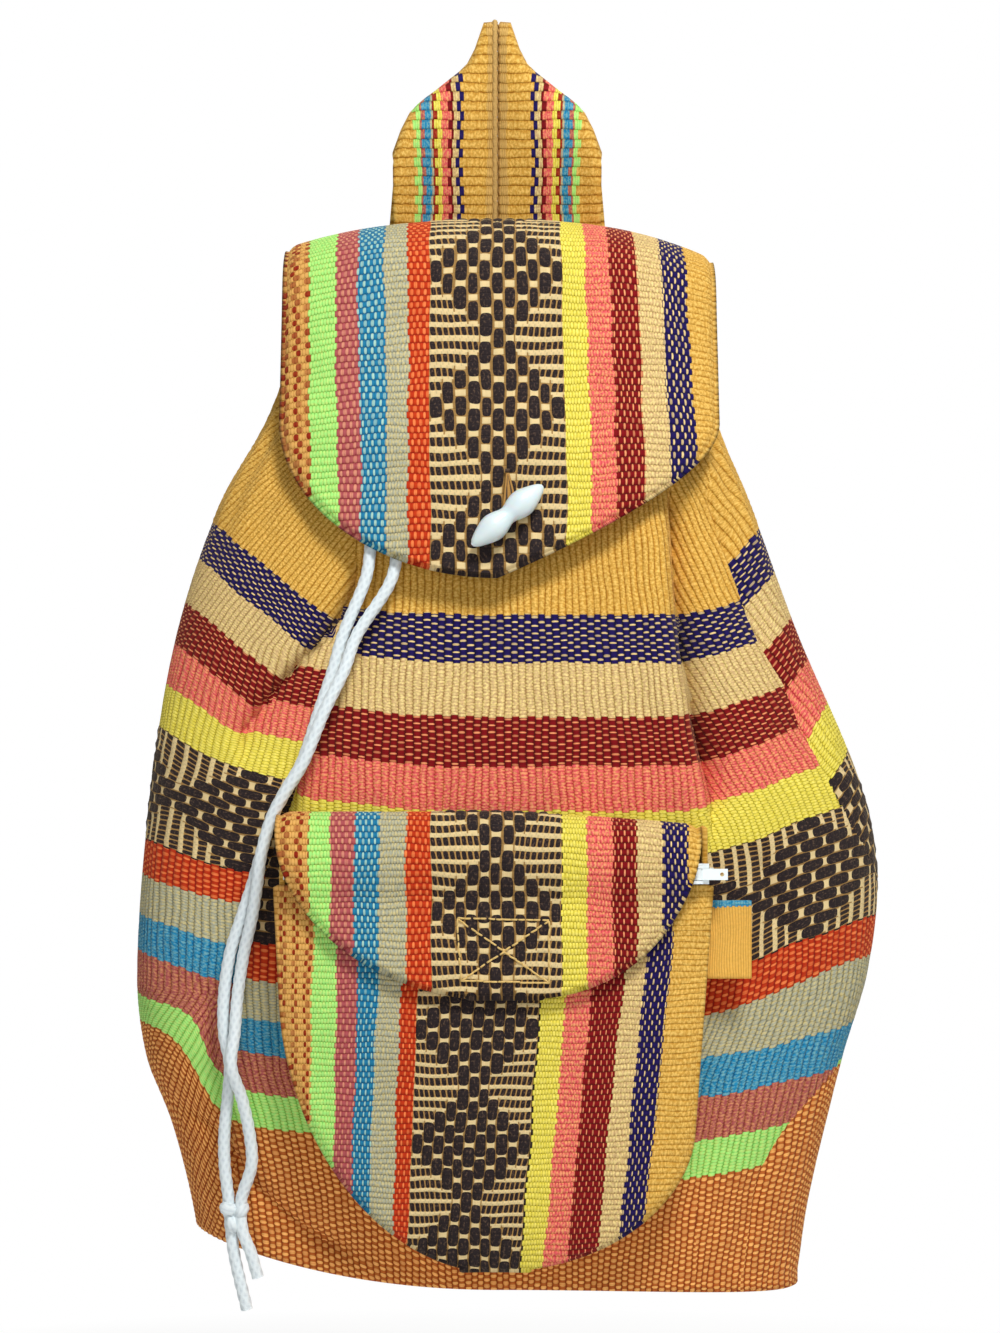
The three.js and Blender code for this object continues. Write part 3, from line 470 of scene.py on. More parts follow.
# A weave: pitch of its ribs and grains, span of its stripes, and the stripes, given by where each one ends
def new_weave(name, rib, grain, span, stripes, **changes):
    plain = {"rib_height": 0.4, "rib_shade": 0.4, "grain_shade": 0.7, "full_ribs_end": math.inf}
    plain |= {"float": 1, "lens": 1, "zigzag": 0}
    return {"name": name, "rib": rib, "grain": grain, "range": span, "stripes": stripes} | plain | changes


# Stripes of the flaps and the pocket, which share their colours
def flap_stripes(*ends):
    return list(zip(FLAP_COLOURS, ends))


BODY_WEAVE = new_weave(
    "body_weave", 3.4, 1.42, (60, 660),
    [
        ("ochre", 273.6), ("navy", 295.2), ("tan", 318.6), ("red", 341.1), ("pink", 359.2), ("yellow", 380.9),
        ("band", 432.3), ("orange", 448.8), ("grey", 466.1), ("blue", 483.8), ("rose", 501.6), ("green", 518),
        ("terracotta", 700),
    ],
    rib_height=0.9, rib_shade=0.75, grain_shade=0.65, float=1.1, lens=0.94, full_ribs_end=273.6,
)
FLAP_WEAVE = new_weave(
    "flap_weave", 3.27, 1.4, (-110, 110),
    flap_stripes(-81, -69.3, -59.5, -48.7, -38.5, -28.9, 30, 40.4, 52.1, 63.7, 75.2, 87.3, 120),
    lens=1.04,
)
LID_WEAVE = new_weave(
    "pocket_flap_weave", 2.75, 1.35, (-110, 110),
    flap_stripes(-79.9, -70.8, -60.3, -50.6, -38.6, -27.8, 27.2, 37.5, 48.9, 59.2, 69.3, 80.3, 120),
    float=1.05, lens=0.9,
)
POCKET_WEAVE = new_weave(
    "pocket_weave", 2.45, 1.3, (-110, 110),
    flap_stripes(-78.7, -68.5, -59.6, -51, -41, -33.8, 17.3, 27.9, 38.1, 51, 60.7, 71.1, 120),
    float=1.12, lens=0.68,
)
STRAP_WEAVE = new_weave(
    "strap_weave", 4.3, 1.0, (-4, 50),
    [
        ("ochre", 9), ("green", 11.4), ("rose", 13), ("blue", 16.6), ("grey", 17.8), ("brick", 19.4),
        ("yellow", 21.8), ("pink", 25), ("wine", 27), ("tan", 29.2), ("ink", 31.2), ("ochre", 42.6),
        ("pale", 60),
    ],
    rib_height=1.5, rib_shade=0.8, grain_shade=0.4, zigzag=0.45,
)
PLAIN_WEAVE = new_weave(
    "plain_weave", 2.6, 1.42, (-900, 900), [("ochre", 900)], rib_height=0.5, rib_shade=0.5, grain_shade=0.3,
)
LABEL_WEAVE = new_weave(
    "label_weave", 1.1, 0.9, (-2, 40), [("blue", 2.6), ("label", 60)],
    rib_height=0.1, rib_shade=0.2, grain_shade=0.1,
)


def band_of(weave):
    start = weave["range"][0]
    for colour, end in weave["stripes"]:
        if colour == "band":
            return start, end
        start = end
    return None


# A method for a shader value's arithmetic
def arithmetic(operation, swapped=False):
    def apply(self, other):
        values = (other, self) if swapped else (self, other)
        return self.math(operation, *values)

    return apply


# Shader values that can be written in plain arithmetic
class Field:
    def __init__(self, tree, socket):
        self.tree = tree
        self.socket = socket

    def math(self, operation, *values):
        node = self.tree.nodes.new("ShaderNodeMath")
        node.operation = operation
        for slot, value in zip(node.inputs, values):
            feed(self.tree, slot, value)
        return Field(self.tree, node.outputs[0])

    __add__ = __radd__ = arithmetic("ADD")
    __mul__ = __rmul__ = arithmetic("MULTIPLY")
    __sub__ = arithmetic("SUBTRACT")
    __rsub__ = arithmetic("SUBTRACT", swapped=True)
    __truediv__ = arithmetic("DIVIDE")
    __pow__ = arithmetic("POWER")


def feed(tree, slot, value):
    if isinstance(value, Field):
        tree.links.new(value.socket, slot)
    else:
        slot.default_value = value


# A function that takes shader values and arrays alike
def either(operation, on_arrays):
    def apply(value):
        return value.math(operation, value) if isinstance(value, Field) else on_arrays(value)

    return apply


floor, size, sine = either("FLOOR", np.floor), either("ABSOLUTE", np.abs), either("SINE", np.sin)


# 1 where the first value is under the second, else 0
def below(value, limit):
    if isinstance(value, Field):
        return value.math("LESS_THAN", value, limit)
    return (value < limit).astype(float)


def fraction(value):
    return value - floor(value)


def odd(value):
    return value - 2 * floor(value / 2)


# The diamond band is a grid of cells: its count of columns, ribs to a diamond and ribs to a float.
# The widths and lengths are halves, as shares of a cell, and the heights are millimetres.
BAND_COLUMNS, DIAMOND_RIBS, FLOAT_RIBS, DIAMOND_EDGE = 11, 20, 4, 1.06
FLOAT_WIDTH, FLOAT_LENGTH, FLOAT_SPREAD = 0.44, 0.39, 0.08
TICK_WIDTH, TICK_SLANT, BAR_WIDTH, BAR_MARGIN = 0.38, 0.35, 0.3, 0.01
CROWN_WIDTH, CROWN_LENGTH = 0.46, 0.42
GROUND_HEIGHT, GAP_HEIGHT, BAR_HEIGHT = 0.15, 0.35, 0.45
LOW_RIBS = 0.65


# The diamond band: dark floats over three ribs, set in diamonds, between rows of light bars and dark ticks
def diamond_band(weave, s, t):
    start, end = band_of(weave)
    columns = (t - start) * (BAND_COLUMNS / (end - start))
    column = floor(columns)
    across = size(columns - column - 0.5)
    ribs = s / weave["rib"] - 0.5
    turn = ribs / FLOAT_RIBS + 0.5 * odd(column)
    index = floor(turn)
    along = size(turn - index - 0.5)
    centre = (index + 0.5 - 0.5 * odd(column)) * FLOAT_RIBS
    phase = 2 * size(fraction(centre / DIAMOND_RIBS) - 0.5)
    middle = (BAND_COLUMNS - 1) / 2
    inside = below(size(column - middle) / middle + phase, DIAMOND_EDGE)
    uneven = weave["float"] + FLOAT_SPREAD * sine(3.7 * column + 5.3 * index)
    over = below((across / (FLOAT_WIDTH * uneven)) ** 3 + (along / (FLOAT_LENGTH * uneven)) ** 5, 1)
    step = fraction(ribs / 2) - 0.5
    slant = step * (1 - 2 * below(column, middle))
    upright = size(fraction(columns * 2 + TICK_SLANT * slant) - 0.5)
    bar_edge = BAR_WIDTH * weave["float"]
    tick = below((upright / TICK_WIDTH) ** 3 + (size(step) / (bar_edge + BAR_MARGIN)) ** 4, 1)
    return {
        "inside": inside, "over": over, "gap": below(FLOAT_LENGTH - along, 0), "tick": tick,
        "bar": below(bar_edge - size(step), 0), "across": across, "along": along, "upright": upright,
    }


def in_band(weave, t):
    start, end = band_of(weave)
    return below(size(t - (start + end) / 2), (end - start) / 2)


# Height of the ribs and floats above the cloth, in millimetres
def weave_relief(weave, s, t):
    ribs = (0.5 - 0.5 * np.cos(2 * np.pi * s / weave["rib"])) ** 0.7
    height = weave["rib_height"] * ribs * np.where(t < weave["full_ribs_end"], 1, LOW_RIBS)
    if band_of(weave) is None:
        return height
    band = diamond_band(weave, s, t)
    crown = np.sqrt(np.clip(1 - (band["across"] / CROWN_WIDTH) ** 2, 0, 1))
    length = np.clip(1 - (band["along"] / CROWN_LENGTH) ** 4, 0, 1)
    floats = band["inside"] * (GROUND_HEIGHT + band["over"] * crown * length + GAP_HEIGHT * band["gap"])
    ground = (1 - band["inside"]) * (GROUND_HEIGHT + BAR_HEIGHT * band["bar"])
    return np.where(in_band(weave, t) > 0, floats + ground, height)


# Materials
def linear(colour):
    channels = [channel / 255 for channel in colour]
    return [c / 12.92 if c <= 0.04045 else ((c + 0.055) / 1.055) ** 2.4 for c in channels] + [1]


def new_material(name, roughness, **settings):
    material = bpy.data.materials.new(name)
    material.use_nodes = True
    shader = material.node_tree.nodes["Principled BSDF"]
    shader.inputs["Roughness"].default_value = roughness
    for key, value in settings.items():
        shader.inputs[key.replace("_", " ").title()].default_value = value
    return material, material.node_tree, shader


def mix(tree, share, first, second, blend="MIX"):
    node = tree.nodes.new("ShaderNodeMix")
    node.data_type = "RGBA"
    node.blend_type = blend
    feed(tree, node.inputs[0], share)
    feed(tree, node.inputs[6], first)
    feed(tree, node.inputs[7], second)
    return Field(tree, node.outputs[2])


def stripe_ramp(tree, place, weave, value_of):
    low, high = weave["range"]
    node = tree.nodes.new("ShaderNodeValToRGB")
    node.color_ramp.interpolation = "CONSTANT"
    stops = node.color_ramp.elements
    stops.remove(stops[1])
    start = low
    for k, (colour, end) in enumerate(weave["stripes"]):
        position = (start - low) / (high - low)
        stop = stops[0] if k == 0 else stops.new(position)
        stop.position = position
        stop.color = value_of(colour)
        start = end
    feed(tree, node.inputs[0], (place - low) / (high - low))
    return Field(tree, node.outputs[0])


def main_yarn(colour):
    return linear(COLOURS[colour][0])


def second_yarn(colour):
    return linear(COLOURS[colour][1])


def pattern_of(colour):
    return (*COLOURS[colour][2:], 1)


def combined(tree, *values):
    place = tree.nodes.new("ShaderNodeCombineXYZ")
    for slot, value in zip(place.inputs, values):
        feed(tree, slot, value)
    return place.outputs[0]


def random_at(tree, x, y, seed):
    noise = tree.nodes.new("ShaderNodeTexWhiteNoise")
    tree.links.new(combined(tree, x, y, seed), noise.inputs["Vector"])
    return Field(tree, noise.outputs["Value"])


def noise_at(tree, coordinate, scale, detail=2.0):
    noise = tree.nodes.new("ShaderNodeTexNoise")
    noise.inputs["Scale"].default_value = scale
    noise.inputs["Detail"].default_value = detail
    tree.links.new(coordinate, noise.inputs["Vector"])
    return Field(tree, noise.outputs["Fac"])


# A smooth rise from 0 to 1 between two values
def soft_step(value, low, high):
    node = value.tree.nodes.new("ShaderNodeMapRange")
    node.interpolation_type = "SMOOTHSTEP"
    for slot, number in zip(node.inputs, (value, low, high)):
        feed(value.tree, slot, number)
    return Field(value.tree, node.outputs[0])


def bump(tree, shader, height):
    node = tree.nodes.new("ShaderNodeBump")
    node.inputs["Distance"].default_value = 1.0
    feed(tree, node.inputs["Height"], height)
    tree.links.new(node.outputs[0], shader.inputs["Normal"])


# Colour of the diamond band, and its painted shade: floats and bars darker towards their edges
def band_colour(tree, weave, s, t, streaks):
    band = diamond_band(weave, s, t)
    inside, over = band["inside"], band["over"]
    outside = 1 - inside
    dark = inside * over + outside * band["tick"]
    bright = inside * band["gap"] * below(band["across"], 0.37) + outside * band["bar"]
    light = mix(tree, bright, linear(GOLD), linear(CREAM))
    black = mix(tree, soft_step(streaks, 0.5, 0.75), linear(BLACK), linear(BROWN))
    # Painted shade of the rounding of floats and bars, darker towards their edges
    edge = inside * (band["across"] / 0.5) ** 4 + outside * (band["upright"] / 0.5) ** 6 * band["bar"]
    return mix(tree, dark, light, black), 1.04 - 0.3 * edge


# Painted shade between threads: a colour raised to a power, as it looks where light meets it more than once
def painted_gap_shade(tree, colour, power):
    node = tree.nodes.new("ShaderNodeGamma")
    feed(tree, node.inputs[0], colour)
    feed(tree, node.inputs[1], power)
    return Field(tree, node.outputs[0])


# A colour made darker by a tone from 0 to 1
def shaded(tree, colour, tone):
    grey = tree.nodes.new("ShaderNodeCombineColor")
    for slot in grey.inputs:
        feed(tree, slot, tone)
    return mix(tree, 1.0, colour, Field(tree, grey.outputs[0]), "MULTIPLY")


# Cloth coordinates in a shader: the place, its s and its t
def cloth_coordinates(tree):
    uv = tree.nodes.new("ShaderNodeUVMap")
    uv.uv_map = "cloth"
    split = tree.nodes.new("ShaderNodeSeparateXYZ")
    tree.links.new(uv.outputs[0], split.inputs[0])
    return uv.outputs[0], Field(tree, split.outputs[0]), Field(tree, split.outputs[1])


# The rib and grain of a place, how near it is to their edges, and the middle of the grain
def yarn_at(weave, s, t):
    ribs = s / weave["rib"]
    rib = floor(ribs)
    stagger = 0.5 * odd(rib)
    grains = t / weave["grain"] + stagger
    grain = floor(grains)
    return {
        "rib": rib, "rib_edge": size(2 * (ribs - rib) - 1), "stagger": stagger,
        "grain": grain, "grain_edge": size(2 * (grains - grain) - 1),
        "middle": (grain + 0.5 - stagger) * weave["grain"] + (4 * stagger - 1) * weave["zigzag"],
    }


# What COLOURS says of the stripe at a place: flecks, length of the light grains, and repeat
def stripe_pattern(tree, weave, place):
    pattern = tree.nodes.new("ShaderNodeSeparateColor")
    feed(tree, pattern.inputs[0], stripe_ramp(tree, place, weave, pattern_of))
    return [Field(tree, pattern.outputs[k]) for k in range(3)]


# Share of the second yarn: lens-shaped light grains in a check, flecks in a plain stripe
CHECK_REPEAT = 7.04
SHIFT_SEED, LENS_SEED, TONE_SEED = 5.0, 7.0, 3.0


def second_share(tree, weave, yarn, t, pattern, streaks):
    flecks, light, apart = pattern
    check = below(0.05 - light, 0)
    blocks = below(0.45 - apart, 0)
    loose = 0.16 * (1 - blocks) * random_at(tree, yarn["rib"], 0.0, SHIFT_SEED)
    pairs = t / (apart * (CHECK_REPEAT * weave["grain"])) + yarn["stagger"] * (1 - 0.44 * blocks) + loose
    pair = floor(pairs)
    pair_edge = size(2 * (pairs - pair) - 1)
    chance = random_at(tree, yarn["rib"], pair, LENS_SEED)
    lens_length = light * (weave["lens"] * (0.8 + 0.4 * chance))
    lens = 1 - soft_step((pair_edge / lens_length) ** 2 + (yarn["rib_edge"] / 0.94) ** 4, 0.75, 1.25)
    checked = check * lens * (1 - 0.5 * chance * chance)
    return checked + (1 - check) * flecks * soft_step(streaks, 0.4, 0.64)


# Seams between the grains, and the painted shade of all gaps between threads: darker rib lines and grain
# seams
def thread_gaps(weave, yarn, apart, fibres):
    rib_edge, grain_edge = yarn["rib_edge"], yarn["grain_edge"]
    seams = soft_step(grain_edge * grain_edge + 0.4 * rib_edge * rib_edge, 0.42, 1.2)
    rib_line_shade = (0.4 * rib_edge**2 + 0.6 * rib_edge**8) * (1 - 0.6 * apart) * (0.7 + 0.6 * fibres)
    return seams, weave["rib_shade"] * rib_line_shade + weave["grain_shade"] * apart * seams


# Woven cotton
COTTON_SHEEN = {"sheen_weight": 0.08, "sheen_roughness": 0.5, "sheen_tint": (0.8, 0.62, 0.38, 1)}
SEAM_BUMP, RIB_BUMP, FIBRE_BUMP = 0.2 * MM, 0.25 * MM, 0.25 * MM


def woven_material(weave):
    material, tree, shader = new_material(weave["name"], 0.9, **COTTON_SHEEN)
    shader.inputs["Specular IOR Level"].default_value = 0.2
    place, s, t = cloth_coordinates(tree)
    yarn = yarn_at(weave, s, t)
    pattern = stripe_pattern(tree, weave, yarn["middle"])
    apart = pattern[2]
    main = stripe_ramp(tree, yarn["middle"], weave, main_yarn)
    second = stripe_ramp(tree, yarn["middle"], weave, second_yarn)
    streaks = noise_at(tree, combined(tree, s * 0.7, t), 1.0, 3.0)
    fibres = noise_at(tree, place, 2.2)
    worn = noise_at(tree, place, 0.03, 3.0)
    seams, deep = thread_gaps(weave, yarn, apart, fibres)
    colour = mix(tree, second_share(tree, weave, yarn, t, pattern, streaks), main, second)
    # Painted shade: the gaps between threads are deepened in colour and darkened, and the rib crowns painted
    # a little lighter
    colour = painted_gap_shade(tree, colour, 1 + 0.8 * deep)
    shade = 1.08 - 0.6 * deep
    if band_of(weave) is not None:
        band_share = in_band(weave, t)
        figure, figure_shade = band_colour(tree, weave, s, t, streaks)
        colour = mix(tree, band_share, colour, figure)
        shade = shade * (1 - band_share) + band_share * figure_shade
    speckle = random_at(tree, yarn["rib"], yarn["grain"], TONE_SEED)
    # The tone carries the painted shade of the gaps, with a random tone of grains, fibres and larger patches
    tone = shade * (0.84 + 0.08 * speckle + 0.2 * fibres) * (0.9 + 0.2 * worn)
    feed(tree, shader.inputs["Base Color"], shaded(tree, colour, tone))
    height = (1 - seams * apart) * SEAM_BUMP + (1 - yarn["rib_edge"] ** 6) * RIB_BUMP + fibres * FIBRE_BUMP
    bump(tree, shader, height)
    return material


# Plain finishes: colour, roughness, scale and depth of a fine grain, and how much darker its hollows are, as
# painted shade
FINISHES = {
    "selvedge": ((214, 172, 98), 0.9, 1300, 0.5, 0.4),
    "white_plastic": ((236, 246, 247), 0.28, 90, 0.02, 0.05),
    "toggle_plastic": ((212, 227, 229), 0.32, 90, 0.02, 0.05),
    "thread": ((190, 140, 66), 0.85, 1800, 0.1, 0.45),
    "dark_thread": ((74, 54, 38), 0.85, 1800, 0.1, 0.45),
    "pale_thread": ((232, 196, 120), 0.85, 1800, 0.1, 0.3),
    "zip_tape": ((238, 236, 226), 0.85, 900, 0.15, 0.12),
    "touch_fastener": ((46, 42, 40), 0.95, 1100, 0.6, 0.6),
}


def fine_material(name, **settings):
    colour, roughness, scale, depth, spread = FINISHES[name]
    material, tree, shader = new_material(name, roughness, **settings)
    place = tree.nodes.new("ShaderNodeTexCoord").outputs["Object"]
    grain = noise_at(tree, place, scale, 4.0)
    # A random grain of tone, painted darker in its low places as painted shade of its hollows
    deep = [channel * (1 - spread) for channel in linear(colour)[:3]] + [1]
    feed(tree, shader.inputs["Base Color"], mix(tree, grain, deep, linear(colour)))
    bump(tree, shader, grain * (depth * MM))
    return material


# Meshes
def make_object(name, material, vertices, quads, triangles=(), uv=None, faces=None):
    mesh = bpy.data.meshes.new(name)
    quads = np.asarray(quads, np.int32).reshape(-1, 4)
    triangles = np.asarray(triangles, np.int32).reshape(-1, 3)
    corners = np.concatenate([quads.ravel(), triangles.ravel()])
    starts = np.concatenate([4 * np.arange(len(quads)), 4 * len(quads) + 3 * np.arange(len(triangles))])
    mesh.vertices.add(len(vertices))
    mesh.vertices.foreach_set("co", (np.asarray(vertices) * MM).astype(np.float32).ravel())
    mesh.loops.add(len(corners))
    mesh.loops.foreach_set("vertex_index", corners.astype(np.int32))
    mesh.polygons.add(len(starts))
    mesh.polygons.foreach_set("loop_start", starts.astype(np.int32))
    mesh.polygons.foreach_set("use_smooth", np.ones(len(starts), bool))
    if uv is not None:
        places = np.asarray(uv, np.float32)[corners]
        if faces is not None:
            places[: faces.size // 2] = faces.reshape(-1, 2)
        mesh.uv_layers.new(name="cloth").data.foreach_set("uv", places.ravel())
    mesh.update(calc_edges=True)
    mesh.validate()
    mesh.materials.append(material)
    obj = bpy.data.objects.new(name, mesh)
    bpy.context.collection.objects.link(obj)
    return obj


def face_corners(grid):
    return np.stack([grid[:-1, :-1], grid[1:, :-1], grid[1:, 1:], grid[:-1, 1:]], axis=-1)


def grid_quads(ids):
    return face_corners(ids).reshape(-1, 4)


# Vertex numbers of a grid, counted on from a start
def number_grid(start, columns, rows):
    return start + np.arange(columns * rows).reshape(columns, rows)


def grid_normals(grid):
    return unit(np.cross(np.gradient(grid, axis=0), np.gradient(grid, axis=1)))


def border_loop(columns, rows):
    loop = [(i, 0) for i in range(columns)] + [(columns, j) for j in range(rows)]
    loop += [(i, rows) for i in range(columns, 0, -1)] + [(0, j) for j in range(rows, 0, -1)]
    return np.array(loop)


def on_loop(grid, loop):
    return grid[loop[:, 0], loop[:, 1]]


# A gentle unevenness of hand weaving, about -1 to 1
WOBBLE_WAVES, WOBBLE_REACH, WOBBLE_SEEDS = (13, 19, 31, 47), 0.6, (1, 2)


def wobble(p, q, seed):
    chance = np.random.default_rng(seed)
    total = 0
    for wavelength in WOBBLE_WAVES:
        angle, phase = chance.uniform(0, 2 * math.pi, 2)
        along = p * math.cos(angle) + q * math.sin(angle)
        total = total + np.sin(2 * math.pi * along / wavelength + phase)
    return total / 3


def wavy(s, t):
    moves = [WOBBLE_REACH * wobble(s, t, seed) for seed in WOBBLE_SEEDS]
    return s + moves[0], t + moves[1]


# Steps of a sheet's face to one of its lining, and how far in from the edge a rim rolls
LINING_STEP, ROLL_REACH = 4, 5.0


# Distance of each point of a grid from the grid's nearest edge
def edge_distance(grid):
    nearest = np.full(grid.shape[:2], 1e9)
    for axis in (0, 1):
        run = run_along(grid, axis)
        total = np.take(run, [-1], axis=axis)
        nearest = np.minimum(nearest, np.minimum(run, total - run))
    return nearest


# Points round a sheet, just beyond its border
def rim_points(grid, loop, rim):
    border = on_loop(grid, loop)
    inner = np.clip(loop, 1, [grid.shape[0] - 2, grid.shape[1] - 2])
    outward = border - on_loop(grid, inner)
    along = unit(np.roll(border, -1, axis=0) - np.roll(border, 1, axis=0))
    outward = unit(outward - along * (outward * along).sum(axis=1, keepdims=True))
    return border + outward * rim


# Triangles between the fine rim and the coarser border of the lining
def rim_triangles(edge, back):
    half = LINING_STEP // 2
    triangles = []
    for k, here in enumerate(back):
        following = back[(k + 1) % len(back)]
        run = [edge[(k * LINING_STEP + m) % len(edge)] for m in range(LINING_STEP + 1)]
        for m in range(LINING_STEP):
            triangles.append((run[m + 1], run[m], here if m < half else following))
        triangles.append((run[half], here, following))
    return triangles


# A sheet of cloth: a fine relief on its face, a coarser lining, and a rounded rim all round
def cloth_shell(
    name, material, weave, grid, s, t, thickness=CLOTH, rim=0.6, roll=0.0, flip=False, faces=None,
):
    s, t = wavy(*np.broadcast_arrays(s, t))
    relief = weave_relief(weave, s, t)
    relief = relief - relief.mean() - roll * np.clip(1 - edge_distance(grid) / ROLL_REACH, 0, 1) ** 2
    if flip:
        grid, s, t, relief = grid[::-1], s[::-1], t[::-1], relief[::-1]
    columns, rows = grid.shape[0] - 1, grid.shape[1] - 1
    small = (columns // LINING_STEP, rows // LINING_STEP)
    coarse = (slice(None, None, LINING_STEP), slice(None, None, LINING_STEP))
    loop = border_loop(columns, rows)
    normals = grid_normals(grid)
    face = grid + normals * (thickness / 2 + relief)[..., None]
    lining = grid[coarse] - normals[coarse] * thickness / 2
    edge = rim_points(grid, loop, rim)
    vertices = np.concatenate([face.reshape(-1, 3), edge, lining.reshape(-1, 3)])
    place = stacked(s, t)
    uv = np.concatenate([place.reshape(-1, 2), on_loop(place, loop), place[coarse].reshape(-1, 2)])
    face_id = number_grid(0, columns + 1, rows + 1)
    edge_id = face_id.size + np.arange(len(loop))
    lining_id = number_grid(face_id.size + len(loop), small[0] + 1, small[1] + 1)
    front = on_loop(face_id, loop)
    rim_quads = np.stack([np.roll(front, -1), front, edge_id, np.roll(edge_id, -1)], axis=1)
    quads = np.concatenate([grid_quads(face_id), grid_quads(lining_id)[:, ::-1], rim_quads])
    triangles = rim_triangles(edge_id, on_loop(lining_id, border_loop(*small)))
    return make_object(name, material, vertices, quads, triangles, uv, faces)


# Directions across a path that turn with it as little as they can
SIDE_HINT = (0.3, 1, 0.2)


def path_frames(points):
    tangents = unit(np.gradient(points, axis=0))
    side = np.cross(tangents[0], SIDE_HINT)
    sides = []
    for tangent in tangents:
        side = unit(side - tangent * np.dot(side, tangent))
        sides.append(side)
    return np.array(sides), np.cross(tangents, sides)


# A round tube along points, whose radius may change with place and turn
def tube(name, points, radius, sides, material):
    points = np.asarray(points, float)
    across, up = path_frames(points)
    turn = 2 * np.pi * np.arange(sides) / sides
    distance = run_along(points)
    reach = radius(distance[:, None], turn) if callable(radius) else np.full((len(points), sides), radius)
    ring = np.cos(turn)[:, None] * across[:, None] + np.sin(turn)[:, None] * up[:, None]
    vertices = (points[:, None] + ring * reach[..., None]).reshape(-1, 3)
    ids = np.pad(number_grid(0, len(points), sides), ((0, 0), (0, 1)), mode="wrap")
    first, last = len(vertices), len(vertices) + 1
    triangles = []
    for k in range(sides):
        triangles.append((first, ids[0, k + 1], ids[0, k]))
        triangles.append((last, ids[-1, k], ids[-1, k + 1]))
    uv = np.concatenate([stacked(distance[:, None], turn).reshape(-1, 2), [[0, 0], [distance[-1], 0]]])
    vertices = np.concatenate([vertices, points[[0, -1]]])
    obj = make_object(name, material, vertices, grid_quads(ids), triangles, uv)
    span = max(reach.max() - reach.min(), 1e-6)
    relief = np.concatenate([((reach - reach.min()) / span).ravel(), [0, 0]])
    obj.data.attributes.new("relief", "FLOAT", "POINT").data.foreach_set("value", relief.astype(np.float32))
    return obj


# Puts a piece on a body in place of its solids
def settle(obj, body, slot, *nodes):
    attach(obj, body)
    if nodes:
        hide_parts(*nodes)
    return obj


# Dresses a solid that is shown as it is
def dress_node(node, material):
    data = bpy.data.objects[node].data
    data.materials.clear()
    data.materials.append(material)


# Camera: level, in front of the bag, at the photograph's distance and framing
CAMERA_PLACE = (0.0013, -1.411, -0.298)
FOCAL_PIXELS, IMAGE_HEIGHT, SENSOR = 3023, 1333, 36


def add_camera():
    camera = bpy.data.cameras.new("camera")
    camera.sensor_width = SENSOR
    camera.lens = SENSOR * FOCAL_PIXELS / IMAGE_HEIGHT
    holder = bpy.data.objects.new("camera", camera)
    holder.location = CAMERA_PLACE
    holder.rotation_euler = (math.radians(90), 0, 0)
    bpy.context.collection.objects.link(holder)
    bpy.context.scene.camera = holder


# Drawstring: the route of each strand through the knot to its tail
LEFT_STRAND = [
    (-24, -74, -152), (-34, -80, -172), (-43, -87.3, -196), (-50, -93, -220), (-54.5, -97.3, -243),
    (-57, -99.8, -260), (-66.5, -102.8, -284), (-71, -104.6, -300), (-77, -106.5, -318), (-84, -107.9, -339),
    (-91.5, -108.1, -352), (-97.5, -107.9, -364), (-101.5, -107.8, -378), (-105.5, -107.6, -392),
    (-110.2, -106.9, -406), (-115.3, -105.5, -422), (-118, -104.5, -440), (-118, -104.7, -456),
    (-115.5, -104.4, -470), (-116.5, -102.7, -484), (-118.2, -99.8, -500), (-118.3, -98.2, -514),
    (-116.6, -97.6, -529.7), (-115.5, -98.8, -542.1), (-113.5, -98.8, -556), (-108.5, -98.8, -577),
]
RIGHT_STRAND = [
    (-12, -74.3, -152), (-20, -80.3, -173), (-29, -88, -197), (-37, -94, -221), (-42.5, -98.3, -244),
    (-46.5, -101.2, -262), (-60.3, -104.2, -284), (-66, -108.9, -300), (-74.5, -112.5, -318),
    (-83, -114.2, -339), (-90.8, -114.4, -352), (-97, -114.4, -364), (-101, -114.5, -378),
    (-103, -113.8, -392), (-105.4, -111.5, -406), (-109.2, -107.9, -422), (-111.9, -106.9, -440),
    (-113, -109.4, -456), (-114.3, -111.1, -470), (-110.2, -106.9, -484), (-107, -104, -500),
    (-106.3, -102.2, -514), (-110.9, -99.6, -529.4), (-110.3, -101.3, -542.1), (-106.5, -102, -552),
    (-103.5, -102, -562.5),
]
KNOT_CENTRE = (-114, -98.8, -535.7)
CORD_RADIUS, CORD_STEP, CORD_SIDES, KNOT_SIDES = 2.7, 0.75, 24, 20
BRAID_STRANDS, BRAID_LAY, BRAID_DEPTH = 5, 5.2, 0.42
BRAID_GROOVE_SHADE, BRAID_CREST = (192, 203, 209), (223, 232, 234)


# How high the braid's strands stand at one place, from 0 in the grooves to 1
def braid_height(distance, turn):
    right = BRAID_STRANDS * turn + 2 * np.pi * distance / BRAID_LAY
    left = BRAID_STRANDS * turn - 2 * np.pi * distance / BRAID_LAY + np.pi
    return np.maximum(np.cos(right), np.cos(left)) * 0.5 + 0.5


def braid_radius(distance, turn):
    return CORD_RADIUS - BRAID_DEPTH * (1 - braid_height(distance, turn))


# White braid, with painted shade that makes it greyer in the grooves between its strands
def braid_material():
    material, tree, shader = new_material("braid", 0.85, sheen_weight=0.15)
    height = tree.nodes.new("ShaderNodeAttribute")
    height.attribute_name = "relief"
    fibres = noise_at(tree, tree.nodes.new("ShaderNodeTexCoord").outputs["Object"], 1500, 4.0)
    # Painted shade: the lower the strand's relief, the greyer the colour
    share = Field(tree, height.outputs["Fac"]) ** 0.6 * (0.75 + 0.5 * fibres)
    feed(tree, shader.inputs["Base Color"], mix(tree, share, linear(BRAID_GROOVE_SHADE), linear(BRAID_CREST)))
    bump(tree, shader, fibres * (0.15 * MM))
    return material


def add_strand(name, route, material, *nodes):
    path = even_path(route, CORD_STEP)
    strand = tube(name, path, braid_radius, CORD_SIDES, material)
    return settle(strand, "bag", "cord", *nodes), path


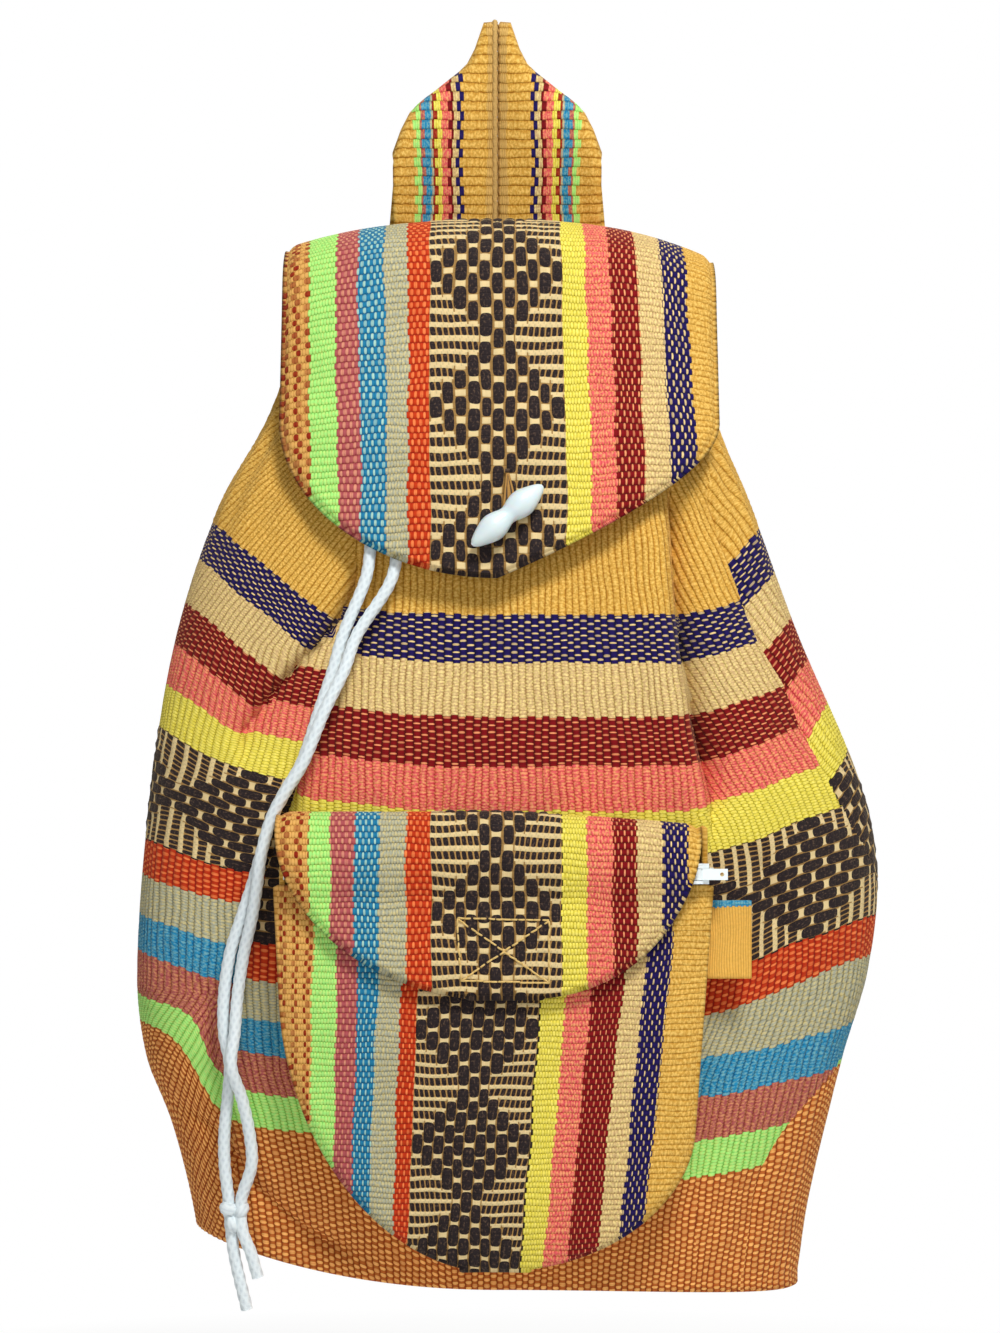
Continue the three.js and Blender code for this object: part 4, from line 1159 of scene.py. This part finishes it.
# An overhand knot in the doubled cord, tight enough to fill its solid
def add_knot(material):
    turn = np.linspace(0, 2 * np.pi, 220)
    x = 3.4 * (np.sin(turn) + 0.35 * np.sin(2 * turn))
    y = 2.6 * np.sin(3 * turn)
    z = 3.8 * (np.cos(turn) - 0.45 * np.cos(2 * turn))
    route = stacked(x, y, z) + np.array(KNOT_CENTRE)
    knot = tube("knot", route[:-1], braid_radius, KNOT_SIDES, material)
    return settle(knot, "bag", "cord", "drawstring_knot")


def add_drawstring():
    braid = braid_material()
    left, left_path = add_strand("strand_left", LEFT_STRAND, braid, "drawstring_left", "tail_long")
    right, right_path = add_strand("strand_right", RIGHT_STRAND, braid, "drawstring_right", "tail_short")
    knot = add_knot(braid)
    dress_node("drawstring_ring", braid)


# Body cloth
BODY_COLUMNS, BODY_ROWS, MIDDLE_HEIGHT = 528, 152, -400


def add_body(material, hem):
    angles = even_angles(2 * math.pi + BACK_SEAM, math.pi - BACK_SEAM, BODY_COLUMNS, MIDDLE_HEIGHT)[:, None]
    foot = base_z(body_point(angles, -BASE)[0])
    z = lerp(rim_z(angles), foot, shares(BODY_ROWS))
    x, y = body_point(angles, z)
    ripple = gather(angles, z)
    points = [np.broadcast_to(angles, x.shape), across_bag(angles, x, z), z, way_round(x, y)]
    s, t = body_cloth_place(*points, *points[1:3])
    corners = [face_corners(values) for values in points]
    middles = [values.mean(axis=-1, keepdims=True) for values in corners[1:3]]
    faces = stacked(*wavy(*body_cloth_place(*corners, *middles)))
    inset = fold_inset(x, z) * np.maximum(0, -np.sin(angles))
    grid = stacked(x + ripple * np.cos(angles), y + ripple * np.sin(angles) + inset, z)
    body = cloth_shell("body_cloth", material, BODY_WEAVE, grid, s, t, faces=faces)
    settle(body, "bag", "body_cloth", "front_panel")


def back_seam_x(side, z):
    angle = math.pi - BACK_SEAM if side < 0 else BACK_SEAM
    return body_point(angle, z)[0] + side * BACK_OVERLAP


# Where the unseen cloths take up the body's stripes
BACK_RISE, BASE_STRIPE, BASE_SPAN = (58, 28), 560, 80


def add_back(material):
    u, v = shares(200).T, shares(100)
    foot = lerp(base_z(back_seam_x(-1, -BASE)), base_z(back_seam_x(1, -BASE)), u)
    rim_x = lerp(back_seam_x(-1, -MOUTH_FRONT), back_seam_x(1, -MOUTH_FRONT), u)
    top = rim_z(np.arcsin(np.clip(round_share(rim_x, -MOUTH_FRONT) ** (CORNER / 2), 0, 1)))
    z = lerp(top, foot, v)
    x = lerp(back_seam_x(-1, z), back_seam_x(1, z), u)
    grid = stacked(x, back_y(x, z) + LAYER + BACK_EASE, z)
    back = cloth_shell("back_cloth", material, BODY_WEAVE, grid, x, lerp(*BACK_RISE, u) - z)
    settle(back, "bag", "body_cloth", "back_panel")


def add_base(material):
    u, v = shares(120).T, shares(40)
    left = -BODY_LEFT * body_left(1) + BASE_SIDE_INSET
    right = BODY_RIGHT * body_right(1) - BASE_SIDE_INSET
    x = lerp(left, right, u)
    y = lerp(front_y(x, -BASE) + BASE_EDGE_INSET, back_y(x, -BASE) - BASE_EDGE_INSET, v)
    grid = stacked(x, y, base_z(x) + CLOTH)
    base = cloth_shell("base_cloth", material, BODY_WEAVE, grid, x, BASE_STRIPE + BASE_SPAN * v, flip=True)
    settle(base, "bag", "body_cloth", "base_panel")


# The hem: a rounded casing round the mouth, gathered by its cord
HEM_SEGMENTS, HEM_CORNERS, HEM_CORNER_STEP, HEM_ROUNDING = 384, 28, 2.2, 0.55
HEM_PUCKERS, HEM_PUCKER_REACH = 88, 0.35


def add_hem(material):
    angles = 2 * np.pi * np.arange(HEM_SEGMENTS) / HEM_SEGMENTS
    z = rim_z(angles)
    x, y = body_point(angles, z)
    step = 0.02
    after = body_point(angles + step, rim_z(angles + step))
    before = body_point(angles - step, rim_z(angles - step))
    outward = unit(stacked(after[1] - before[1], before[0] - after[0]))
    turn = 2 * np.pi * np.arange(HEM_CORNERS) / HEM_CORNERS
    out = HEM_WIDTH / 2 * signed_power(np.cos(turn), HEM_ROUNDING)
    up = HEM_LIFT + HEM_HEIGHT / 2 + HEM_HEIGHT / 2 * signed_power(np.sin(turn), HEM_ROUNDING)
    ripple = gather(angles, z) / 2 + HEM_PUCKER_REACH * np.cos(HEM_PUCKERS * angles)
    reach = out + ripple[:, None]
    points = stacked(
        x[:, None] + outward[:, :1] * reach, y[:, None] + outward[:, 1:] * reach, z[:, None] + up,
    )
    ids = np.pad(number_grid(0, HEM_SEGMENTS, HEM_CORNERS), ((0, 1), (0, 1)), mode="wrap")
    length = np.cumsum(np.hypot(np.gradient(x), np.gradient(y)))
    uv = stacked(length[:, None], HEM_CORNER_STEP * np.arange(HEM_CORNERS)).reshape(-1, 2)
    hem = make_object("hem_cloth", material, points.reshape(-1, 3), grid_quads(ids), uv=uv)
    return settle(hem, "bag", "body_cloth", "mouth_hem")


# Top flap
def flap_spine():
    back = back_y(0, -MOUTH_BACK)
    seam_y = back + 2 * (LAYER + BACK_EASE)
    hem_y = back + HEM_WIDTH / 2 + SEAM_GAP + CLOTH / 2
    rim_y = front_y(0, -MOUTH_FRONT)
    points = [
        (seam_y, -FLAP_SEAM), (seam_y, -FLAP_SEAM + 13),
        (hem_y + 0.6, -FLAP_TOP - 21), (hem_y + 0.4, -FLAP_TOP - 9.5),
        (hem_y - 7, -FLAP_TOP - 2), (hem_y - 23, -FLAP_TOP),
        (rim_y + 18, -FLAP_TOP - 5), (rim_y - 2, -FLAP_TOP - 19),
    ]
    for share in FLAP_SHARES:
        drop = lerp(FLAP_TOP, FLAP_TIP, share)
        points.append((front_y(0, -drop) - FLAP_STAND_OFF, -drop))
    return points


# Shares of a path's length with fine steps in front and coarse ones where it is hidden
def graded_shares(split, coarse_rows, fine_rows, end_ease):
    hidden = np.linspace(0, split, coarse_rows + 1)[:-1]
    shown = 1 - (1 - np.linspace(0, 1, fine_rows + 1)) ** end_ease
    return np.concatenate([hidden, lerp(split, 1, shown)])[None, :]


def flap_place(along):
    spine = along_spline(flap_spine(), along)
    drop = np.where(along < 0.3, 0, -spine[..., 1])
    share = np.clip((drop - FLAP_ROUND) / (FLAP_TIP - FLAP_ROUND), 0, 0.9999)
    left = -FLAP_LEFT * np.sqrt(1 - share**2)
    right = FLAP_RIGHT * (1 - share**1.8)
    return spine, left, right


# Distance along a spine from one height on its front, where the middle of a diamond lies
def from_height(points, along, drop):
    curve, distance = spline(points)
    front = np.argmin(np.abs(curve[:, 1] + drop) + 1000 * (curve[:, 0] > curve[:, 0].mean()))
    return along * distance[-1] - distance[front]


# The top flap's middle diamond, droop and ripple, and how its ribs climb and its stripes lean
FLAP_DIAMOND, FLAP_RIGHT_DROOP, FLAP_RIPPLE = 214.8, 7, 1.1
FLAP_CLIMB, FLAP_CLIMB_START = 0.1, 35
FLAP_LEANS, FLAP_LEAN_DROPS = (-0.05, 0.063), (-215, -94)


def add_flap(material):
    along = graded_shares(0.32, 36, 252, 1.5)
    spine, left, right = flap_place(along)
    x = lerp(left, right, shares(224).T)
    edge = np.abs(x) / np.where(x < 0, FLAP_LEFT, FLAP_RIGHT)
    y = spine[..., 0] + FLAP_CURL * edge**3 * smoothstep(along, 0.2, 0.5)
    droop = np.where(x < 0, FLAP_DROOP, FLAP_DROOP + FLAP_RIGHT_DROOP)
    z = spine[..., 1] - droop * edge**2.6 * (1 - along)
    ripple = FLAP_RIPPLE * np.sin(x / 21 + 0.6) * np.sin(z / 33) * smoothstep(along, 0.45, 0.7)
    grid = stacked(x, y + ripple, z)
    s = from_height(flap_spine(), along, FLAP_DIAMOND) + FLAP_CLIMB * np.maximum(0, x - FLAP_CLIMB_START)
    t = x * (1 + np.where(x < 0, *FLAP_LEANS) * ramp(z, *FLAP_LEAN_DROPS))
    flap = cloth_shell("flap_cloth", material, FLAP_WEAVE, grid, s, t, rim=1.5, roll=1.9, flip=True)
    settle(flap, "bag", "flap_cloth", "top_flap")


# Straps
strap_contour = smooth_profile((0, 0), (0.1, -1), (0.2, -16), (0.5, -29), (0.85, -43), (1, -60))


def strap_grid(side, u, v):
    reach = STRAP_SPLIT / 2 + u * STRAP_WIDTH
    fold_z = strap_contour(u) + STRAP_CLOTH / 2 - STRAP_FOLD
    rise = ramp(v, 0, STRAP_FRONT_END)
    seam_y = lerp(STRAP_SEAM_Y, -STRAP_FOLD, smoothstep(rise, 0.3, 1))
    front = stacked(side * reach, seam_y, lerp(-STRAP_SEAM, fold_z, rise))
    turn = math.pi * (v - STRAP_FRONT_END) / (STRAP_FOLD_END - STRAP_FRONT_END)
    fold = stacked(side * reach, -STRAP_FOLD * np.cos(turn), fold_z + STRAP_FOLD * np.sin(turn))
    fall = ramp(v, STRAP_FOLD_END, 1)
    x = side * (reach + STRAP_SPREAD * fall)
    end_y = back_y(x, -STRAP_END) + LAYER + (CLOTH + STRAP_CLOTH) / 2 + 2 * BACK_EASE
    bow = STRAP_BOW * np.sin(math.pi * fall) ** 0.8
    rear = stacked(x, lerp(STRAP_FOLD, end_y, fall) + bow, lerp(fold_z, -STRAP_END, fall))
    first, second = (v <= STRAP_FRONT_END)[..., None], (v <= STRAP_FOLD_END)[..., None]
    return np.where(first, front, np.where(second, fold, rear))


# The woven-in edges where the straps meet: one lies before the other
SELVEDGE_PLACE, SELVEDGE_STEP, SELVEDGE_RADIUS, SELVEDGE_TWIST = -0.0098, 1.0, 1.2, 0.3
STRAP_COLUMNS, STRAP_ROWS, STRAP_PATTERN_END = 48, 640, 800


def selvedge_radius(distance, turn):
    return SELVEDGE_RADIUS + SELVEDGE_TWIST * np.cos(2 * np.pi * distance / STRAP_WEAVE["rib"] + 2 * turn)


def add_strap(name, side, material, edging, node):
    fine = shares(4000)
    length = run_along(strap_grid(side, np.array([[0.5]]), fine)[0])
    v = np.interp(np.linspace(0, length[-1], STRAP_ROWS + 1), length, fine[0])[None, :]
    u = shares(STRAP_COLUMNS).T
    grid = strap_grid(side, u, v)
    run = run_along(grid, 1)
    crest = (STRAP_FRONT_END + STRAP_FOLD_END) / 2
    s = np.where(v < crest, run, run - run[:, -1:] + STRAP_PATTERN_END)
    t = STRAP_WIDTH * (1 - u)
    strap = cloth_shell(name, material, STRAP_WEAVE, grid, s, t, STRAP_CLOTH, rim=1.0, flip=side > 0)
    settle(strap, "bag", "strap_cloth", node)
    edge = strap_grid(side, np.array([[SELVEDGE_PLACE]]), v)[0]
    outward = unit(np.cross([1, 0, 0], np.gradient(edge, axis=0)))
    edge = edge - side * SELVEDGE_STEP * outward
    selvedge = tube(name + "_selvedge", edge, selvedge_radius, 10, edging)
    settle(selvedge, "bag", "strap_cloth")


# Pocket
def pocket_reach(side, drop, inset=0.0):
    round_length = POCKET_ROUND[side]
    share = np.clip((drop - (POCKET_TIP - inset - round_length)) / round_length, 0, 0.985)
    straight = POCKET_REACH[side] - POCKET_TAPER[side] * ramp(drop, POCKET_TOP, POCKET_TIP)
    return side * (straight - inset) * np.sqrt(1 - share**2)


def pocket_y(x, z):
    share = ramp(-z, POCKET_TOP, POCKET_TIP)
    left, right = pocket_reach(-1, -z), pocket_reach(1, -z)
    across = np.clip(2 * (x - left) / (right - left) - 1, -1, 1)
    return -POCKET_PLANE - POCKET_BULGE * (1 - across**2) * (1 - (2 * share - 1) ** 4)


# The pocket's stripes draw together downwards, between two drops
POCKET_DIAMOND, POCKET_RIPPLE = 474.2, 0.9
POCKET_DROP, POCKET_DROP_SPAN, POCKET_CENTRES, POCKET_SPREADS = 448, 68, (10, 5.2), (1, 0.959)


def add_pocket(material):
    u = shares(208).T
    drop = lerp(POCKET_TOP, POCKET_TIP, graded_shares(0.12, 4, 228, 1.25))
    x = lerp(pocket_reach(-1, drop), pocket_reach(1, drop), u)
    ripple = POCKET_RIPPLE * np.sin(x / 17) * np.sin(drop / 23)
    grid = stacked(x, pocket_y(x, -drop) + ripple * np.sin(math.pi * u), -drop)
    lower = np.clip((drop - POCKET_DROP) / POCKET_DROP_SPAN, -0.5, 1.5)
    s = drop - POCKET_DIAMOND
    t = (x - lerp(*POCKET_CENTRES, lower)) / lerp(*POCKET_SPREADS, lower) + POCKET_CENTRES[0]
    pocket = cloth_shell("pocket_cloth", material, POCKET_WEAVE, grid, s, t, rim=1.2, roll=1.6, flip=True)
    settle(pocket, "bag", "flap_cloth", "pocket_front")


def add_gusset(material):
    u, v = shares(240).T, shares(12)
    share = 1 - np.abs(2 * u - 1)
    drop = lerp(GUSSET_TOP, POCKET_TIP - GUSSET_INSET, 1 - (1 - share) ** 1.5)
    x = np.where(u < 0.5, pocket_reach(-1, drop, GUSSET_INSET), pocket_reach(1, drop, GUSSET_INSET))
    rear = front_y(x, -drop) - LAYER
    fore = -POCKET_PLANE + CLOTH / 2 + SEAM_GAP
    grid = stacked(x, lerp(rear, fore, v), -drop)
    t = run_along(grid[:, 0])[:, None]
    gusset = cloth_shell("gusset_cloth", material, PLAIN_WEAVE, grid, grid[..., 1], t, GUSSET_CLOTH)
    settle(gusset, "bag", "body_cloth", "pocket_gusset")


# Pocket flap
LID_DIAMOND = 373.2


def lid_spine():
    points = [
        (front_y(0, -LID_SEAM) - LAYER, -LID_SEAM),
        (-POCKET_PLANE - 1, -LID_SEAM + 0.5),
        (-POCKET_PLANE - 8.5, -LID_SEAM - 6),
        (-POCKET_PLANE - 11, -ZIP_DROP + 4),
    ]
    for share in LID_SHARES:
        drop = lerp(POCKET_TOP, LID_TIP, share)
        points.append((pocket_y(0, -drop) - LID_STEP, -drop))
    return points


def lid_grid(u, along):
    spine = along_spline(lid_spine(), along)
    share = np.clip((-spine[..., 1] - LID_ROUND) / (LID_TIP - LID_ROUND), 0, 0.99)
    x = lerp(-LID_LEFT * (1 - share**2) ** 0.52, LID_RIGHT * (1 - share**1.7) ** 0.37, u)
    z = spine[..., 1] - LID_TILT * np.maximum(0, 2 * u - 1) ** 1.5 * (1 - along)
    seam = front_y(x, z) - LAYER
    arch = lerp(seam, spine[..., 0], smoothstep(along, 0, 0.16))
    return stacked(x, lerp(arch, pocket_y(x, z) - LID_STEP, smoothstep(along, *LID_LAY)), z)


def add_lid(material):
    along = graded_shares(0.1, 4, 148, 1.2)
    grid = lid_grid(shares(200).T, along)
    s, t = from_height(lid_spine(), along, LID_DIAMOND), grid[..., 0]
    lid = cloth_shell("pocket_flap_cloth", material, LID_WEAVE, grid, s, t, rim=1.5, roll=1.9, flip=True)
    settle(lid, "bag", "flap_cloth", "pocket_flap")


# Label: a folded tape, bare, with a coloured edge
LABEL_ROOT, LABEL_REACH, LABEL_TOP, LABEL_HEIGHT, LABEL_Y = 89.7, 19, 398, 33, 120.5
LABEL_LEAF, LABEL_GAP, LABEL_SAG, LABEL_STEPS = 0.7, 0.9, 0.25, 16


def add_label(material):
    half = (LABEL_LEAF + LABEL_GAP) / 2
    fold = LABEL_ROOT + LABEL_REACH - half - LABEL_LEAF / 2
    turn = np.linspace(-math.pi / 2, math.pi / 2, LABEL_STEPS + 1)
    out = np.linspace(LABEL_ROOT, fold, LABEL_STEPS + 1)
    leaf = np.full(LABEL_STEPS, half)
    x = np.concatenate([out[:-1], fold + half * np.cos(turn), out[::-1][1:]])[:, None]
    y = np.concatenate([-leaf, half * np.sin(turn), leaf])[:, None]
    v = shares(24)
    sag = LABEL_SAG * np.sin(math.pi * v) * (x - LABEL_ROOT) / LABEL_REACH
    grid = stacked(x, y - LABEL_Y + sag, -LABEL_TOP - LABEL_HEIGHT * v)
    s, t = run_along(stacked(x, y)), LABEL_HEIGHT * v
    label = cloth_shell("label", material, LABEL_WEAVE, grid, s, t, LABEL_LEAF, rim=0.15, flip=True)
    settle(label, "bag", "label", "side_label")


# Toggle: a turned double cone on a thread, given by stations of half its length
TOGGLE_CENTRE = (4.5, -112.522, -233.0641)
TOGGLE_AXIS = (0, -0.97991, 0.19943)
TOGGLE_HALF, TOGGLE_LOBE, TOGGLE_FLATNESS, TOGGLE_TURN = 20, 4.9, 0.16, math.radians(41)
TOGGLE_SHAPE = (
    (0, 3.5), (1.5, 3.7), (4, 4.5), (7.5, 5.1), (10.5, 4.8), (15, 3.4), (18.5, 1.9), (TOGGLE_HALF, 0.7),
)


def toggle_directions():
    normal = np.array(TOGGLE_AXIS)
    return normal, np.array([0, normal[2], -normal[1]])


def add_toggle(material):
    normal, up = toggle_directions()
    length = np.array([math.cos(TOGGLE_TURN), 0, 0]) + up * math.sin(TOGGLE_TURN)
    mirrored = [(-reach, radius) for reach, radius in TOGGLE_SHAPE[:0:-1]]
    profile = smooth_profile(*mirrored, *TOGGLE_SHAPE)
    place = np.linspace(-TOGGLE_HALF, TOGGLE_HALF, 121)
    points = np.array(TOGGLE_CENTRE) + place[:, None] * length
    across, rise = path_frames(points)
    beside = np.cross(length, normal)

    def reach(distance, turn):
        flat = np.cos(turn) * np.dot(across[0], beside) + np.sin(turn) * np.dot(rise[0], beside)
        return profile(distance - TOGGLE_HALF) * (1 + TOGGLE_FLATNESS * flat**2)

    toggle = tube("toggle_body", points, reach, 40, material)
    settle(toggle, "toggle", "white_plastic", "toggle")


# Threads that tie the toggle: they fan out from a hole in the flap to the toggle's waist.
# Their stations are a rise over the waist, a lift off the flap and a share of the spread.
THREAD_SPREADS, THREAD_RADIUS, THREAD_SINK = (-1.6, -0.5, 0.6, 1.8, 3.0, 4.2), 0.62, 2.3
THREAD_STATIONS = (
    (21, -0.4, 0.05), (19.5, 1.3, 0.12), (11, 1.7, 0.6), (4, 1.9, 1), (0.8, 3.2, 0.8), (0, 6.4, 0.4),
)
HOLE_RISE, HOLE_LIFT, HOLE_RADIUS = 21.4, 1.5, 0.9


def add_thread(bright, dark):
    normal, up = toggle_directions()
    across = np.cross(up, normal)
    seat = np.array(TOGGLE_CENTRE) - normal * (TOGGLE_LOBE + THREAD_SINK)
    pieces = []
    for k, spread in enumerate(THREAD_SPREADS):
        route = []
        for rise, lift, share in THREAD_STATIONS:
            route.append(seat + up * rise + normal * lift + across * spread * share)
        material = dark if k % 3 == 1 else bright
        pieces.append(tube(f"thread_{k}", even_path(route, 0.5), THREAD_RADIUS, 8, material))
    hole = seat + up * HOLE_RISE + normal * HOLE_LIFT
    knot = even_path([hole - across, hole, hole + across], 0.4)
    pieces.append(tube("thread_hole", knot, HOLE_RADIUS, 10, dark))
    for piece in pieces:
        settle(piece, "bag", "thread")
    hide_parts("toggle_thread")


# A rounded copy of a small rigid solid, which may be squeezed towards its inner end
def add_rounded(node, name, body, width, material, squeeze=1.0):
    copy = bpy.data.objects.new(name, bpy.data.objects[node].data.copy())
    inner = max(vertex.co.x for vertex in copy.data.vertices)
    for vertex in copy.data.vertices:
        vertex.co.x = lerp(inner, vertex.co.x, squeeze)
    bpy.context.collection.objects.link(copy)
    copy.data.materials.clear()
    copy.data.materials.append(material)
    bevel = copy.modifiers.new("round", "BEVEL")
    bevel.width = width * MM
    bevel.segments = 3
    bevel.limit_method = "ANGLE"
    bevel.angle_limit = math.radians(35)
    copy.modifiers.new("normals", "WEIGHTED_NORMAL")
    return settle(copy, body, "white_plastic", node)


# Zip teeth: a coil of small loops along the zip
TEETH_PITCH, TEETH_HALF_LENGTH, TEETH_STEPS = 1.6, 89.6, 8
TEETH_DEPTH, TEETH_HEIGHT, TEETH_RADIUS = 0.72, 1.9, 0.42


def add_teeth(material):
    box_low, box_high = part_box("zip_coil")
    y_middle = (box_low[1] + box_high[1]) / 2 / MM
    count = int(2 * TEETH_HALF_LENGTH / TEETH_PITCH)
    turns = np.arange(count * TEETH_STEPS + 1) / TEETH_STEPS
    x = -TEETH_HALF_LENGTH + TEETH_PITCH * turns
    y = y_middle + TEETH_DEPTH * np.cos(2 * math.pi * turns)
    z = -ZIP_DROP + TEETH_HEIGHT * np.sin(2 * math.pi * turns)
    coil = tube("zip_teeth", stacked(x, y, z), TEETH_RADIUS, 7, material)
    settle(coil, "bag", "white_plastic", "zip_coil")


# Stitches: short thread pieces laid on the pocket flap in a crossed square
STITCH_CORNERS = ((-17, -404), (22, -405), (22, -431), (-15, -430))
STITCH_GAP, STITCH_SINK, STITCH_LIFT, STITCH_RADIUS = 0.06, 0.9, 1.55, 0.42
STITCHES_ACROSS, STITCHES_DOWN, STITCHES_CROSSED = 12, 8, 14


def lid_point(x, z):
    grid = lid_grid(shares(160).T, np.linspace(0.35, 0.99, 161)[None, :])
    near = np.argmin((grid[..., 0] - x) ** 2 + (grid[..., 2] - z) ** 2)
    return grid.reshape(-1, 3)[near]


# One piece made of several
def joined(name, pieces):
    first = pieces[0]
    with bpy.context.temp_override(active_object=first, object=first, selected_editable_objects=pieces):
        bpy.ops.object.join()
    first.name = name
    return first


def stitch_line(start, end, count, material, name):
    start, end = np.array(start), np.array(end)
    lift = np.array([0, -CLOTH / 2, 0])
    stitches = []
    for k in range(count):
        a = lid_point(*lerp(start, end, (k + STITCH_GAP) / count))
        b = lid_point(*lerp(start, end, (k + 1 - STITCH_GAP) / count))
        raised = [lerp(a, b, share) + lift * STITCH_LIFT for share in (0.25, 0.75)]
        route = [a + lift * STITCH_SINK, *raised, b + lift * STITCH_SINK]
        stitches.append(tube(f"{name}_{k}", even_path(route, 0.6), STITCH_RADIUS, 7, material))
    settle(joined(name, stitches), "bag", "thread")


def add_stitching(material):
    corners = STITCH_CORNERS
    for k in range(4):
        count = STITCHES_DOWN if k % 2 else STITCHES_ACROSS
        stitch_line(corners[k], corners[(k + 1) % 4], count, material, f"square_{k}")
    stitch_line(corners[0], corners[2], STITCHES_CROSSED, material, "cross_a")
    stitch_line(corners[1], corners[3], STITCHES_CROSSED, material, "cross_b")


# Light, floor and background
LAMP_AIM = (0, -0.05, -0.32)
LAMPS = {
    "key": ((0.4, -1.2, 1.2), 0.45, 35),
    "fill": ((-0.3, -1.9, -0.2), 1.2, 6.5),
    "rear": ((0.3, 1.5, 0.6), 1.2, 18),
}
FLOOR_HALF, FLOOR_HEIGHT, FLOOR_COLOUR = 3000, -800, (0.86, 0.86, 0.85, 1)
FLOOR_CLEAR, FLOOR_FADE = 1.0, 4
WORLD_LIGHT = 0.18


def add_lamp(name, place, width, power):
    lamp = bpy.data.lights.new(name, "AREA")
    lamp.size = width
    lamp.energy = power
    holder = bpy.data.objects.new(name, lamp)
    holder.location = place
    dx, dy, dz = np.array(LAMP_AIM) - np.array(place)
    tilt = math.atan2(math.hypot(dx, dy), -dz)
    holder.rotation_euler = (tilt, 0, math.atan2(dx, -dy) + math.pi)
    bpy.context.collection.objects.link(holder)


def seen_directly(tree):
    rays = tree.nodes.new("ShaderNodeLightPath")
    kinds = ("Is Camera Ray", "Is Glossy Ray", "Is Transmission Ray")
    camera, glossy, transmitted = (Field(tree, rays.outputs[kind]) for kind in kinds)
    return camera + glossy + transmitted


def add_world():
    world = bpy.data.worlds.new("studio")
    bpy.context.scene.world = world
    world.use_nodes = True
    tree = world.node_tree
    background = tree.nodes["Background"]
    background.inputs["Color"].default_value = (1, 1, 1, 1)
    feed(tree, background.inputs["Strength"], WORLD_LIGHT + (1 - WORLD_LIGHT) * seen_directly(tree))


# A pale floor whose far part is as white as the background
def add_floor():
    corners = [(-1, -1), (1, -1), (1, 1), (-1, 1)]
    vertices = [(x * FLOOR_HALF, y * FLOOR_HALF, FLOOR_HEIGHT) for x, y in corners]
    material, tree, shader = new_material("floor", 0.9)
    shader.inputs["Base Color"].default_value = FLOOR_COLOUR
    length = tree.nodes.new("ShaderNodeVectorMath")
    length.operation = "LENGTH"
    tree.links.new(tree.nodes.new("ShaderNodeTexCoord").outputs["Object"], length.inputs[0])
    far = (Field(tree, length.outputs["Value"]) - FLOOR_CLEAR) * FLOOR_FADE
    far = far.math("MINIMUM", far.math("MAXIMUM", far, 0.0), 1.0)
    camera = Field(tree, tree.nodes.new("ShaderNodeLightPath").outputs["Is Camera Ray"])
    white = tree.nodes.new("ShaderNodeEmission")
    blend = tree.nodes.new("ShaderNodeMixShader")
    feed(tree, blend.inputs[0], far * camera)
    tree.links.new(shader.outputs[0], blend.inputs[1])
    tree.links.new(white.outputs[0], blend.inputs[2])
    tree.links.new(blend.outputs[0], tree.nodes["Material Output"].inputs["Surface"])
    make_object("floor", material, vertices, [(0, 1, 2, 3)])


def add_studio():
    add_world()
    add_floor()
    for name, (place, width, power) in LAMPS.items():
        add_lamp(name, place, width, power)
    bpy.context.scene.view_settings.view_transform = "Standard"


def add_cloth():
    body, plain = woven_material(BODY_WEAVE), woven_material(PLAIN_WEAVE)
    add_body(body, add_hem(plain))
    add_back(body)
    add_base(body)
    add_gusset(plain)
    add_flap(woven_material(FLAP_WEAVE))
    strap, edging = woven_material(STRAP_WEAVE), fine_material("selvedge")
    add_strap("strap_left_cloth", -1, strap, edging, "strap_left")
    add_strap("strap_right_cloth", 1, strap, edging, "strap_right")
    add_pocket(woven_material(POCKET_WEAVE))
    add_lid(woven_material(LID_WEAVE))
    add_label(woven_material(LABEL_WEAVE))


def add_zip():
    plastic = fine_material("white_plastic", coat_weight=0.3)
    add_rounded("zip_slider", "slider", "zip_slider", 0.35, plastic)
    add_rounded("zip_pull", "pull_tab", "zip_pull", 0.3, plastic)
    add_rounded("zip_stop_left", "stop_left", "bag", 0.2, plastic, 0.2)
    add_rounded("zip_stop_right", "stop_right", "bag", 0.3, plastic)
    add_teeth(plastic)
    tape = fine_material("zip_tape")
    dress_node("zip_tape_upper", tape)
    dress_node("zip_tape_lower", tape)


def build():
    add_camera()
    add_drawstring()
    add_cloth()
    milky = {"subsurface_weight": 0.35, "subsurface_scale": 0.004, "coat_weight": 0.2}
    add_toggle(fine_material("toggle_plastic", **milky))
    add_thread(fine_material("thread"), fine_material("dark_thread"))
    add_zip()
    add_stitching(fine_material("pale_thread"))
    nap = fine_material("touch_fastener")
    dress_node("fastener_loops", nap)
    dress_node("fastener_hooks", nap)
    add_studio()


build()
